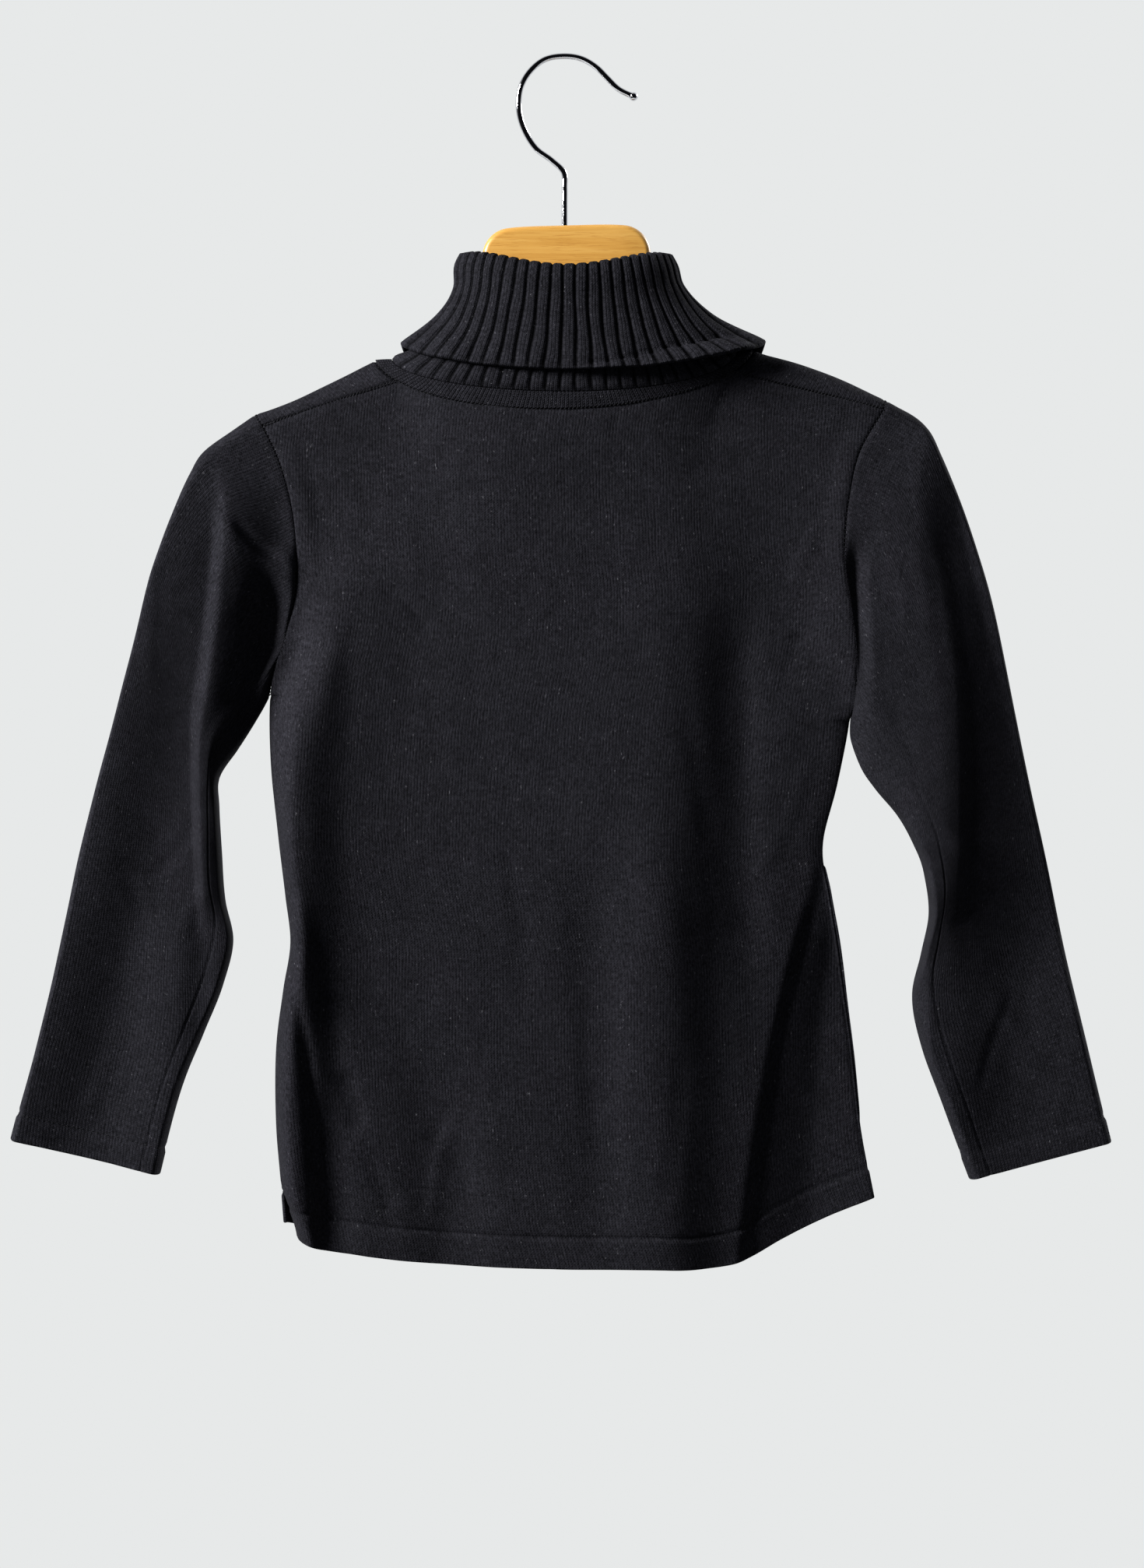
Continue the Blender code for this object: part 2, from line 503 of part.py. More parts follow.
def join(grids):
    """Join grids of points into one surface; points that coincide become one.

    Each grid is (points, faces, raise above the plain cloth for each point).
    """
    points = np.concatenate([grid[0].reshape(-1, 3) for grid in grids])
    lifts = np.concatenate([np.broadcast_to(grid[2], grid[0].shape[:-1]).reshape(-1) for grid in grids])
    starts = np.cumsum([0] + [grid[0].reshape(-1, 3).shape[0] for grid in grids[:-1]])
    faces = np.concatenate([grid[1] + start for grid, start in zip(grids, starts)])
    _, first, same = np.unique(np.round(points, 4), axis=0, return_index=True, return_inverse=True)
    return points[first], same.reshape(-1)[faces], lifts[first]


def face_normals(points, faces):
    """Area-weighted normal of each four-sided face, from its two diagonals."""
    return np.cross(points[faces[:, 2]] - points[faces[:, 0]], points[faces[:, 3]] - points[faces[:, 1]])


def shared_normals(pieces):
    """Unit normals of every piece's points; at a seam, halfway between the two sides' own normals.

    The back and the front count as one side, so that an armpit lies halfway between body and sleeve.
    """
    everything = np.concatenate([points for points, _, _ in pieces.values()])
    _, same = np.unique(np.round(everything, 4), axis=0, return_inverse=True)
    same = same.reshape(-1)
    sides, start = {}, 0
    for name, (points, faces, _) in pieces.items():
        side = sides.setdefault("body" if name in ("back", "front") else name, np.zeros((same.max() + 1, 3)))
        normals = face_normals(points, faces)
        for corner in range(4):
            np.add.at(side, same[start + faces[:, corner]], normals)
        start += len(points)
    total = np.zeros((same.max() + 1, 3))
    for side in sides.values():
        total += side / np.maximum(np.linalg.norm(side, axis=1, keepdims=True), 1e-9)
    total /= np.linalg.norm(total, axis=1, keepdims=True)
    result, start = {}, 0
    for name, (points, _, _) in pieces.items():
        result[name] = total[same[start:start + len(points)]]
        start += len(points)
    return result


def border_edges(faces):
    """Edges that only one face has, as (from, to, face)."""
    seen = {}
    for number, face in enumerate(faces.tolist()):
        for corner in range(4):
            edge = (face[corner], face[(corner + 1) % 4])
            seen[edge] = number
    return [(a, b, number) for (a, b), number in seen.items() if (b, a) not in seen]


def from_armpit(points):
    """0 at an armpit, rising to 1 at its reach."""
    armpits = [body_edge(side, "back", np.array(ARMPIT)) for side in ("left", "right")]
    nearest = np.min([np.linalg.norm(points - armpit, axis=-1) for armpit in armpits], axis=0)
    return ease(nearest / ARMPIT_REACH)


def draw_in(points, faces, distance):
    """Points with the piece's border moved inwards, along the cloth, by each point's distance."""
    normals = face_normals(points, faces)
    inward = {}
    for a, b, number in border_edges(faces):
        direction = np.cross(normals[number], points[b] - points[a])
        direction /= np.linalg.norm(direction)
        inward.setdefault(a, []).append(direction)
        inward.setdefault(b, []).append(direction)
    moved = points.copy()
    for vertex, (first, second) in inward.items():
        moved[vertex] += (first + second) * distance[vertex] / max(1.0 + float(first @ second), 0.4)
    return moved


def halved(points, faces):
    """Triangles of four-sided faces, each cut along its shorter diagonal."""
    first = np.linalg.norm(points[faces[:, 0]] - points[faces[:, 2]], axis=1)
    second = np.linalg.norm(points[faces[:, 1]] - points[faces[:, 3]], axis=1)
    turned = np.where((first > second)[:, None], np.roll(faces, -1, axis=1), faces)
    return np.concatenate([turned[:, [0, 1, 2]], turned[:, [0, 2, 3]]])


def wall_mesh(name, outer, inner, faces):
    """Closed wall between an outer and an inner surface, both cut into the same triangles."""
    count = len(outer)
    triangles = halved(outer, faces)
    rim = [(b, a, a + count, b + count) for a, b, _ in border_edges(faces)]
    mesh = bpy.data.meshes.new(name)
    every_face = triangles.tolist() + (triangles[:, ::-1] + count).tolist() + rim
    mesh.from_pydata((np.concatenate([outer, inner]) * MM).tolist(), [], every_face)
    mesh.shade_smooth()
    return mesh


def material(name):
    """Principled material from the table of colours."""
    found = bpy.data.materials.get(name)
    if found:
        return found
    made = bpy.data.materials.new(name)
    made.use_nodes = True
    shader = made.node_tree.nodes["Principled BSDF"]
    colour, roughness, metallic = COLOURS[name]
    shader.inputs["Base Color"].default_value = colour
    shader.inputs["Roughness"].default_value = roughness
    shader.inputs["Metallic"].default_value = metallic
    return made


def place(collection, name, mesh, finish):
    """Named object with its mesh and material."""
    placed = bpy.data.objects.new(name, mesh)
    placed.data.materials.clear()
    placed.data.materials.append(material(finish))
    collection.objects.link(placed)
    return placed


# ---- the sewn pieces -----------------------------------------------------------------------------
def cloth_surfaces():
    """Joined surface of each jersey piece, outer side, before it is given its thickness."""
    station = rows()
    hem_raise = np.where(station <= HEM_STATION, HEM_RAISE, 0.0)[:, None]
    back = body_face("back", columns("back"), station)
    front = body_face("front", columns("front"), station)
    shoulder_count = len(SHOULDER_COLUMNS)
    left_strip = over_shoulder("left", front[-1, :shoulder_count], back[-1, :shoulder_count])
    right_strip = over_shoulder("right", front[-1, -shoulder_count:], back[-1, -shoulder_count:])
    strip_faces = grid_faces(OVER_SHOULDER + 1, shoulder_count)
    surfaces = {
        "back": join([(back, grid_faces(*back.shape[:2]), hem_raise)]),
        "front": join([
            (front, grid_faces(*front.shape[:2])[:, ::-1], hem_raise),
            (left_strip, strip_faces[:, ::-1], 0.0),
            (right_strip, strip_faces[:, ::-1], 0.0),
        ]),
    }
    for side in ("left", "right"):
        points, cuff = sleeve(side)
        faces = grid_faces(*points.shape[:2], closed=True)
        if side == "right":
            faces = faces[:, ::-1]
        surfaces["sleeve_" + side] = join([(points, faces, np.where(cuff, HEM_RAISE, 0.0)[:, None])])
    surfaces["neck_band"] = join([neck_band()])
    return surfaces


def build_cloth(collection):
    """Back, front, sleeves and neck band, each a wall parted from its neighbours by the seam gap."""
    surfaces = cloth_surfaces()
    normals = shared_normals(surfaces)
    for name, (points, faces, lift) in surfaces.items():
        away = from_armpit(points)
        gap = SEAM_GAP * (ARMPIT_GAP + (1.0 - ARMPIT_GAP) * away)
        parted = draw_in(points, faces, gap / 2)
        outer = parted + normals[name] * lift[:, None]
        wall = BAND_WALL if name == "neck_band" else BODY_WALL * (ARMPIT_WALL + (1.0 - ARMPIT_WALL) * away)
        inner = parted - normals[name] * np.broadcast_to(wall, len(points))[:, None]
        place(collection, name, wall_mesh(name, outer, inner, faces), "knit")


def ring_normals(rings):
    """Unit normals of closed rings of points, stacked one after another, away from the neck."""
    around = np.roll(rings, -1, axis=1) - np.roll(rings, 1, axis=1)
    along = np.gradient(rings, axis=0)
    normal = np.cross(along, around)
    return normal / np.linalg.norm(normal, axis=-1, keepdims=True)


def rib_angle(turn, crowding, shift):
    """Angle on an oval for an even turn of the ribs.

    With t from 1 to -1 over each flat face, a rib's share of half the width is t more crowding times
    (t less its cube), so that the ribs close up towards the ends, and shift times (1 less t squared).
    """
    half = np.mod(turn, math.pi)
    t = 1.0 - 2.0 * half / math.pi
    moved = np.where(turn < math.pi, shift, -shift) * (1.0 - t * t)
    return np.arccos(np.clip(t + crowding * (t - t**3) + moved, -1.0, 1.0)) + (turn - half)


def collar_rings(turn, as_ribs=True):
    """Middle of the collar's wall: each ring is an oval whose height dips at the back and front."""
    rings = []
    for row in COLLAR:
        left_x, right_x, left_z, right_z, back_z, front_z, back_y, front_y, dip, roundness, _, crowding, shift = row
        angle = rib_angle(turn, crowding, shift) if as_ribs else turn
        across, deep = np.cos(angle), np.sin(angle)
        size, behind = np.abs(deep), deep >= 0.0
        x = (left_x + right_x) / 2 + (right_x - left_x) / 2 * across
        side_z = (left_z + right_z) / 2 + (right_z - left_z) / 2 * across
        y = np.where(behind, -back_y, front_y) * size**roundness
        z = side_z + (np.where(behind, back_z, front_z) - side_z) * over_ridge(size)**dip
        rings.append(np.stack([x, y, z], axis=-1))
    return np.array(rings)


def along_band(turn):
    """First ring of the collar, run along the straight edges of the neck band's upper border."""
    corners = neck_angles()
    corners = np.append(corners, corners[0] + 2.0 * math.pi)
    ring = collar_rings(corners, as_ribs=False)[0]
    angle = rib_angle(turn, *COLLAR[0][-2:])
    turned = np.where(angle < corners[0], angle + 2.0 * math.pi, angle)
    return np.stack([np.interp(turned, corners, ring[:, axis]) for axis in range(3)], axis=-1)


def build_collar(collection):
    """Ribbed collar: one wall that stands up from the neck band and turns over and down."""
    per_rib = len(RIB_POINTS)
    angle = (np.arange(RIB_COUNT * per_rib) / per_rib + 0.5) / RIB_COUNT * 2.0 * math.pi
    rings = collar_rings(angle)
    rings[0] = along_band(angle)
    # The seam gap opens a little at the two shoulder ridges, where the band turns sharply.
    upward = rings[1] - rings[0]
    gap = SEAM_GAP * (1.2 + np.abs(np.cos(angle)) ** 8)
    rings[0] += upward / np.linalg.norm(upward, axis=-1, keepdims=True) * gap[:, None]
    normal = ring_normals(rings)
    rib = np.tile(RIB_POINTS, RIB_COUNT)[None, :, None] * RIB_HEIGHT
    under_ribs = np.array([row[-3] for row in COLLAR])[:, None, None]
    neck_side = rings - normal * (RIB_WALL / 2 + rib)
    body_side = rings + normal * (RIB_WALL / 2 + rib * under_ribs)
    faces = grid_faces(*rings.shape[:2], closed=True)
    mesh = wall_mesh("collar", body_side.reshape(-1, 3), neck_side.reshape(-1, 3), faces[:, ::-1])
    place(collection, "collar", mesh, "rib")


def neck_band():
    """Surface of the linked band, from the body's neckline to the collar's first ring."""
    angle = neck_angles()
    low, high = neckline(angle), collar_rings(angle, as_ribs=False)[0]
    rings = np.stack([low, (low + high) / 2, high])
    return rings, grid_faces(*rings.shape[:2], closed=True)[:, ::-1], BAND_RAISE


def neck_angles():
    """Angles of the neckline's points, as the back, the shoulders and the front are cut."""
    back_left, back_right = corner_angle("back", "left"), corner_angle("back", "right")
    front_left, front_right = corner_angle("front", "left"), corner_angle("front", "right")
    return np.concatenate([
        np.linspace(back_right, back_left, BACK_COLUMNS + 1)[:-1],
        np.linspace(back_left, front_left, OVER_SHOULDER + 1)[:-1],
        np.linspace(front_left, front_right + 2.0 * math.pi, FRONT_COLUMNS + 1)[:-1],
        np.linspace(front_right, back_right, OVER_SHOULDER + 1)[:-1] + 2.0 * math.pi,
    ])


# ---- hanger --------------------------------------------------------------------------------------
def build_hanger(collection, cutters):
    """Flat wooden plate with rounded edges, drilled from above for the hook's stem."""
    curve = bpy.data.curves.new("hanger_outline", "CURVE")
    curve.dimensions = "2D"
    curve.fill_mode = "BOTH"
    curve.extrude = (WOOD_THICK / 2 - WOOD_ROUND) * MM
    curve.bevel_depth = WOOD_ROUND * MM
    curve.bevel_resolution = 1
    curve.offset = -WOOD_ROUND * MM
    curve.resolution_u = 3
    half = list(WOOD_OUTLINE)
    mirrored = [(-x, z, reach, -direction) for x, z, reach, direction in half[-2:0:-1]]
    outline = curve.splines.new("BEZIER")
    outline.bezier_points.add(len(half) + len(mirrored) - 1)
    outline.use_cyclic_u = True
    for point, (x, z, reach, direction) in zip(outline.bezier_points, half + mirrored):
        step_x = reach * math.cos(math.radians(direction))
        step_z = reach * math.sin(math.radians(direction))
        point.co = (x * MM, z * MM, 0.0)
        point.handle_left = ((x - step_x) * MM, (z - step_z) * MM, 0.0)
        point.handle_right = ((x + step_x) * MM, (z + step_z) * MM, 0.0)
    blank = bpy.data.objects.new("hanger_blank", curve)
    blank.rotation_euler = (math.radians(90.0), 0.0, 0.0)
    collection.objects.link(blank)
    plate = solid_from_curve(blank, collection, "hanger", "wood")
    plate.location = (WOOD_MIDDLE[0] * MM, 0.0, WOOD_MIDDLE[1] * MM)
    plate.rotation_euler = (0.0, math.radians(-WOOD_TILT), 0.0)

    drill_length = STEM_IN_WOOD + 20.0
    drill_middle = WOOD_TOP - STEM_IN_WOOD - HOLE_PLAY + drill_length / 2
    bpy.ops.mesh.primitive_cylinder_add(
        vertices=16, radius=(WIRE / 2 + HOLE_PLAY) * MM, depth=drill_length * MM,
        location=(STEM_X * MM, 0.0, drill_middle * MM))
    drill = bpy.context.object
    drill.name = "hook_hole"
    drill.hide_render = True
    drill.display_type = "WIRE"
    for owner in list(drill.users_collection):
        owner.objects.unlink(drill)
    cutters.objects.link(drill)
    cut = plate.modifiers.new("hook_hole", "BOOLEAN")
    cut.operation = "DIFFERENCE"
    cut.object = drill


def solid_from_curve(source, collection, name, finish):
    """Mesh object made from a curve object, its caps welded; the curve is removed."""
    bpy.context.view_layer.update()
    evaluated = source.evaluated_get(bpy.context.evaluated_depsgraph_get())
    mesh = bpy.data.meshes.new_from_object(evaluated)
    mesh.transform(source.matrix_world)
    mesh.name = name
    shape = bmesh.new()
    shape.from_mesh(mesh)
    bmesh.ops.remove_doubles(shape, verts=shape.verts, dist=0.00001)
    bmesh.ops.recalc_face_normals(shape, faces=shape.faces)
    shape.to_mesh(mesh)
    shape.free()
    bpy.data.objects.remove(source)
    return place(collection, name, mesh, finish)


def build_hook(collection):
    """Chromed wire hook: a straight stem in the wood, an open bend and a ball at its end."""
    stem = [(STEM_X, WOOD_TOP - STEM_IN_WOOD), (STEM_X, WOOD_TOP), (STEM_X, -74.0)]
    path = smooth_path(stem + list(HOOK_BEND))
    curve = bpy.data.curves.new("hook_wire", "CURVE")
    curve.dimensions = "3D"
    curve.bevel_depth = WIRE / 2 * MM
    curve.bevel_resolution = 2
    curve.use_fill_caps = True
    wire = curve.splines.new("POLY")
    wire.points.add(len(path) - 1)
    end_x, end_z = HOOK_BEND[-1]
    last_x, last_z = path[-1] - (path[-1] - path[-2]) * 0.5
    for point, (x, z) in zip(wire.points, list(path[:-1]) + [(last_x, last_z)]):
        point.co = (x * MM, 0.0, z * MM, 1.0)
    source = bpy.data.objects.new("hook_source", curve)
    collection.objects.link(source)
    hook = solid_from_curve(source, collection, "hook", "chrome")

    ball_mesh = bpy.data.meshes.new("hook_ball")
    ball = bmesh.new()
    bmesh.ops.create_uvsphere(ball, u_segments=14, v_segments=8, radius=BALL / 2 * MM)
    bmesh.ops.translate(ball, verts=ball.verts, vec=(end_x * MM, 0.0, end_z * MM))
    ball.to_mesh(ball_mesh)
    ball.free()
    ball_object = bpy.data.objects.new("hook_ball", ball_mesh)
    ball_object.hide_render = True
    ball_object.display_type = "WIRE"
    bpy.data.collections["cutters"].objects.link(ball_object)
    union = hook.modifiers.new("ball", "BOOLEAN")
    union.operation = "UNION"
    union.object = ball_object
    hook.data.shade_smooth()


def smooth_path(points, spacing=4.0):
    """Even steps along a smooth curve through the points, measured by the length between them."""
    points = np.array(points)
    length = np.concatenate([[0.0], np.cumsum(np.hypot(*np.diff(points, axis=0).T))])
    stations = np.linspace(0.0, length[-1], int(length[-1] / spacing) + 1)
    return read(np.column_stack([length, points]), stations)


def main():
    for old in list(bpy.data.objects):
        bpy.data.objects.remove(old, do_unlink=True)
    sweater = bpy.data.collections.new("roll_neck_sweater")
    cutters = bpy.data.collections.new("cutters")
    bpy.context.scene.collection.children.link(sweater)
    bpy.context.scene.collection.children.link(cutters)
    build_cloth(sweater)
    build_collar(sweater)
    build_hanger(sweater, cutters)
    build_hook(sweater)


main()
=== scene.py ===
import math

import bpy
import numpy as np
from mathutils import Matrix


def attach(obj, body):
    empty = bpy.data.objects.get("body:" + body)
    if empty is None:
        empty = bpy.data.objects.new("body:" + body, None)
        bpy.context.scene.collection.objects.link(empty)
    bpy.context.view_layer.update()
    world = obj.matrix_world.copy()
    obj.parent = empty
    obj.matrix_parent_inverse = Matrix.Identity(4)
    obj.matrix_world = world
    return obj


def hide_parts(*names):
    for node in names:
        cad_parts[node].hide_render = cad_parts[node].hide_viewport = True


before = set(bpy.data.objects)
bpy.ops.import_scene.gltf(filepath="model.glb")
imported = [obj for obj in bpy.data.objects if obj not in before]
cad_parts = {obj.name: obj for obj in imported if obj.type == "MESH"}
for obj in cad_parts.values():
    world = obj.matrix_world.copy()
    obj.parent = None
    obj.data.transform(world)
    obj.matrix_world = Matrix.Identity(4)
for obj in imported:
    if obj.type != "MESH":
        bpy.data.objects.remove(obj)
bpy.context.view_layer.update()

# A child's fine-knit roll-neck sweater on a flat wooden clothes hanger.  Sizes are in millimetres and
# become metres where a mesh is made; the back of the sweater faces -Y and the hook's rail is at 0, 0, 0.


# ---- Back ----------------------------------------------------------------------------------------
# One panel of fine black jersey, shaped on the machine, with a turned-up hem.  It is linked to the
# front at the shoulders and down the sides, to the sleeves at the armholes and to the neck band.
MM = 0.001
BODY_WALL = 1.4
BODY_HEM = 16.0
ARMPIT = 0.66                     # stations run from 0 at the hem to 1 at the shoulder's tip
BODY_EDGE = (
    # station, left x, left z, right x, right z, depth of the armhole seam from the hanger's plane
    (0.00, -144.4, -601.2, 161.2, -589.2, 9),
    (0.05, -146, -580, 158.6, -576, 9),
    (0.14, -148.4, -549, 153.8, -549, 9),
    (0.24, -148.4, -510, 149.8, -512, 9),
    (0.33, -144.6, -480, 145.6, -481, 9),
    (0.40, -140.8, -455, 142, -456, 9),
    (0.46, -143.4, -432, 138, -433, 9),
    (0.54, -147.6, -399, 134.4, -404, 9),
    (0.60, -151.2, -364, 141.6, -375, 9),
    (0.66, -151.6, -328.8, 148, -342.4, 10),
    (0.75, -142.8, -297, 151, -306, 11.5),
    (0.81, -137.6, -276, 148, -281, 12.5),
    (0.87, -137.4, -253, 144.8, -256, 12.5),
    (0.92, -140.4, -229, 147, -228, 11.5),
    (0.96, -146.4, -208, 152.4, -204, 10.5),
    (1.00, -154.8, -190, 165.2, -181.2, 9),
)
UNDERARM_ROUND = 0.08
CORNER_IN, CORNER_DOWN, CORNER_REACH = 7.0, 6.6, 0.055
RIGHT_SEAM_FORWARD = 8.0
WAIST, WAIST_TO_HIP = 0.50, 0.22
HEM = (
    # share of the width, z at the back, z at the front
    (0.00, -607.8, -601.2),
    (0.03, -611.5, -604),
    (0.11, -616, -606),
    (0.22, -620, -609),
    (0.40, -623, -612),
    (0.60, -623.6, -612),
    (0.70, -623.8, -610),
    (0.77, -620.6, -606),
    (0.84, -610, -601),
    (0.92, -598.6, -595),
    (1.00, -589.2, -589.2),
)
STAND_OFF = (
    # station, back, front
    (0.00, 16, 13),
    (0.20, 17, 13),
    (0.45, 18, 13),
    (0.66, 17.5, 13),
    (0.82, 15.5, 12.5),
    (0.94, 12.5, 11),
    (1.00, 10, 10),
)
SIDE_ROUND = 10.0
EDGE_REACH = 12.0
SEAM_EASE = 34.0
BELOW_ARMPIT = 0.06               # the armhole's depth begins so far below the armpit
ARMHOLE_SLOW = 0.16
TOP_FROM = 0.78                   # from here up a face eases to the depth of its top line
TOP_SPREAD, TOP_SPREAD_TO = 0.09, 0.10
SHOULDER_SHARE = 0.22
NECK_X = (-96.8, 97.6)
NECK_Z = (-155.5, -150.5)
NECK_DROP = {"back": 29.0, "front": 68.5}
NECK_DEPTH = 19.0
CORNER = {"back": 0.46, "front": -0.30}   # sine of the angle where a shoulder line meets the neck
RIDGE_ROUND = 0.12
BODY_HOLLOW, BODY_INNER = 5.5, 0.6        # least room between back and front, and where it holds
SLEEVE_HOLLOW, SLEEVE_INNER = 8.0, 0.8
FOLD_FADE = 0.25
CREST_ROUND = 0.06
FOOT_ROUND = 0.08
CREASE_FADE = 9.0
WAVE_TURN = {"back": 0.4, "front": 2.9, "left": 1.3, "right": 4.1}
BACK_FOLDS = (
    # top x, top z, bottom x, bottom z, bow, left reach at the top, at the bottom, right reach at the
    # top, at the bottom, rise, how straight its flanks are
    (-128, -215, -140, -700, -5, 12, 12, 26, 28, 7, 0.2),  # ridge by the left side
    (-130, -215, -136, -700, -7, 16, 16, 68, 76, 5.5, 0),  # its long fall inwards
    (-139, -424, -121, -548, -1, 6, 6, 12, 12, 3.2, 0.2),  # lapped ridge, low down
    (-133, -470, -119, -640, 0, 8, 8, 22, 22, -4.2, 0.2),  # deep valley below it
    (-153, -450, -145, -640, -1, 7, 7, 8, 8, -4, 0.2),  # trough outside it
    (-114, -520, -104, -556, 1, 8, 8, 9, 9, -1.6, 0.2),  # pocket at its inner end
    (99, -176, 122, -760, 0, 42, 112, 400, 400, -12, 0),  # the right third falls
    (88, -270, 94, -500, 0, 24, 24, 16, 16, -2.5, 0),  # deepest there
    (152, -290, 170, -820, 0, 62, 78, 60, 60, -7, 0),  # and again to its edge
    (145, -392, 93, -690, -12, 7, 7, 90, 90, -4, 0.6),  # step of the large fold
    (160, -400, 130, -690, -12, 12, 50, 80, 80, -5, 0),  # cloth falls on behind it
    (50, -360, 57, -720, 1, 34, 34, 28, 28, 4, 0),  # soft ridge right of middle
    (12, -390, 18, -640, 0, 20, 20, 20, 20, -1.8, 0),  # shallow trough beside it
    (-66, -500, -54, -700, 0, 26, 26, 30, 30, -3, 0),  # dent left of the middle
    (165, -236, 150, -340, -2, 10, 10, 10, 10, -9, 0.3),  # hollow at the right armhole
)
SLEEVE_FOLDS = (
    (-173, -130, -306, -640, 0, 20, 20, 40, 40, 10, 0.4),  # left: outer edge raised
    (-179.5, -200, -181, -468, -6, 5, 6, 25, 14, 8, 0.25),  # left: long sharp ridge
    (-169, -258, -166, -356, 2, 13, 13, 12, 11, -3.5, 0),  # left: hollow at the armhole
    (-164.5, -247, -150, -312, 0, 12, 8, 9, 12, 4.2, 0),  # left: lobe by the armhole seam
    (-192, -405, -217, -650, 0, 30, 30, 34, 30, 3, 0),  # left: soft ridge, forearm
    (-182, -430, -190, -520, 0, 12, 12, 9, 9, -1.5, 0),  # left: fall to the inner edge
    (190, -175, 268, -500, 0, 3, 66, 90, 90, -13, 0.85),  # right: outer half falls
    (189, -225, 197, -470, 9, 34, 34, 8, 8, 2.2, 0.4),  # right: ridge before it
    (166, -244, 149, -340, -1, 7, 7, 8, 10, -5.5, 0.4),  # right: hollow at the armhole
    (188, -390, 196, -590, -4, 9, 9, 52, 56, 6.5, 0),  # right: inner edge raised
    (250, -440, 210, -575, 3, 30, 24, 40, 40, -2, 0.6),  # right: forearm crease
)
FRONT_FOLDS = (
    (-120, -250, -110, -560, -5, 20, 20, 26, 26, -4, 0),
    (-78, -380, -70, -690, 3, 22, 22, 26, 30, 3, 0),
    (4, -330, -8, -690, -4, 34, 34, 30, 34, -3, 0),
    (66, -430, 58, -690, 3, 22, 22, 20, 24, 3.5, 0),
    (112, -250, 120, -520, 4, 28, 28, 22, 22, -4, 0),
    (-164, -240, -178, -400, 3, 16, 16, 14, 14, -4, 0),
    (-214, -260, -232, -480, -4, 18, 18, 18, 18, -3, 0),
    (-214, -450, -240, -560, 3, 16, 16, 16, 16, -2.5, 0),
    (162, -240, 176, -400, -3, 16, 16, 16, 16, -4, 0),
    (216, -260, 230, -480, 4, 18, 18, 18, 18, -3, 0),
    (214, -460, 240, -560, -3, 16, 16, 16, 16, -2.5, 0),
)
# Small creases that the folded sweater kept, laid over the large folds.
BACK_CREASES = (
    # top x, top z, bottom x, bottom z, bow, left reach, right reach, rise, how straight its flanks are
    (-58, -383.5, 58, -382, 1, 3.2, 3, 0.28, 0),
    (92, -389, 132, -395, -1, 4, 3.5, -0.6, 0),
    (-16, -206.5, 54, -199, 4, 5, 4, -0.35, 0),
    (62, -214, 110, -209, 2, 5, 4, -0.35, 0),
    (-96, -269, -66, -301, 2, 4, 4, -0.55, 0.3),
    (-80, -272, -20, -316, 3, 5, 5, -0.55, 0.3),
    (-70, -322, -12, -344, -3, 7, 6, 0.35, 0),
    (-13.6, -184, -13.6, -195, 0, 1.6, 1.6, -0.7, 0),
    (26.4, -184, 26.4, -195, 0, 1.6, 1.6, -0.7, 0),
    (-132, -232, -112, -262, 3, 5, 6, -0.5, 0),
    (136, -236, 118, -282, -4, 6, 6, 0.5, 0),
    (134, -282, 112, -330, -4, 6, 6, -0.5, 0),
    (128, -352, 92, -432, 5, 7, 8, 0.5, 0),
    (60, -330, 74, -420, 3, 9, 9, -0.5, 0),
    (-76, -552, -46, -588, 5, 6, 9, -0.9, 0.3),
    (-52, -540, -66, -604, -6, 5, 8, 0.8, 0.3),
    (-108, -560, -88, -600, 4, 6, 8, -0.8, 0.2),
    (4, -470, 14, -590, -3, 9, 9, 0.5, 0),
    (60, -500, 50, -600, 3, 8, 8, -0.4, 0),
    (-30, -400, -22, -500, 4, 10, 10, -0.5, 0),
)


def smooth_between(station, values, at):
    """Cubic curve through values given at stations, with the slope of a parabola at each."""
    slope = np.gradient(values, station, axis=0)
    at = np.asarray(at, float)
    low = np.clip(np.searchsorted(station, at, side="right") - 1, 0, len(station) - 2)
    wide = at.shape + (1,) * (values.ndim - 1)
    span = (station[low + 1] - station[low]).reshape(wide)
    t = (at - station[low]).reshape(wide) / span
    return (values[low] * (2 * t**3 - 3 * t**2 + 1) + slope[low] * span * (t**3 - 2 * t**2 + t)
            + values[low + 1] * (3 * t**2 - 2 * t**3) + slope[low + 1] * span * (t**3 - t**2))


def read(table, at):
    """Smooth curve through a table's rows, whose first column is the station."""
    rows = np.array(table, float)
    return smooth_between(rows[:, 0], rows[:, 1:], at)


def ease(t):
    """Rise from 0 to 1 with level ends: 3 t squared less 2 t cubed."""
    t = np.clip(t, 0.0, 1.0)
    return t * t * (3.0 - 2.0 * t)


def round_edge(distance, reach):
    """Quarter of an ellipse: 0 at the edge, where the cloth turns over, and 1 at its reach."""
    t = 1.0 - np.clip(distance / reach, 0.0, 1.0)
    return np.sqrt(1.0 - t * t)


def vectors(*columns):
    """Coordinates side by side as points."""
    return np.stack(np.broadcast_arrays(*columns), axis=-1)


def unit(values):
    """Vectors brought to length 1."""
    return values / np.maximum(np.linalg.norm(values, axis=-1, keepdims=True), 1e-12)


def swing(low, high, across):
    """From low to high while a cosine goes from -1 to 1."""
    return (low + high) / 2 + (high - low) / 2 * across


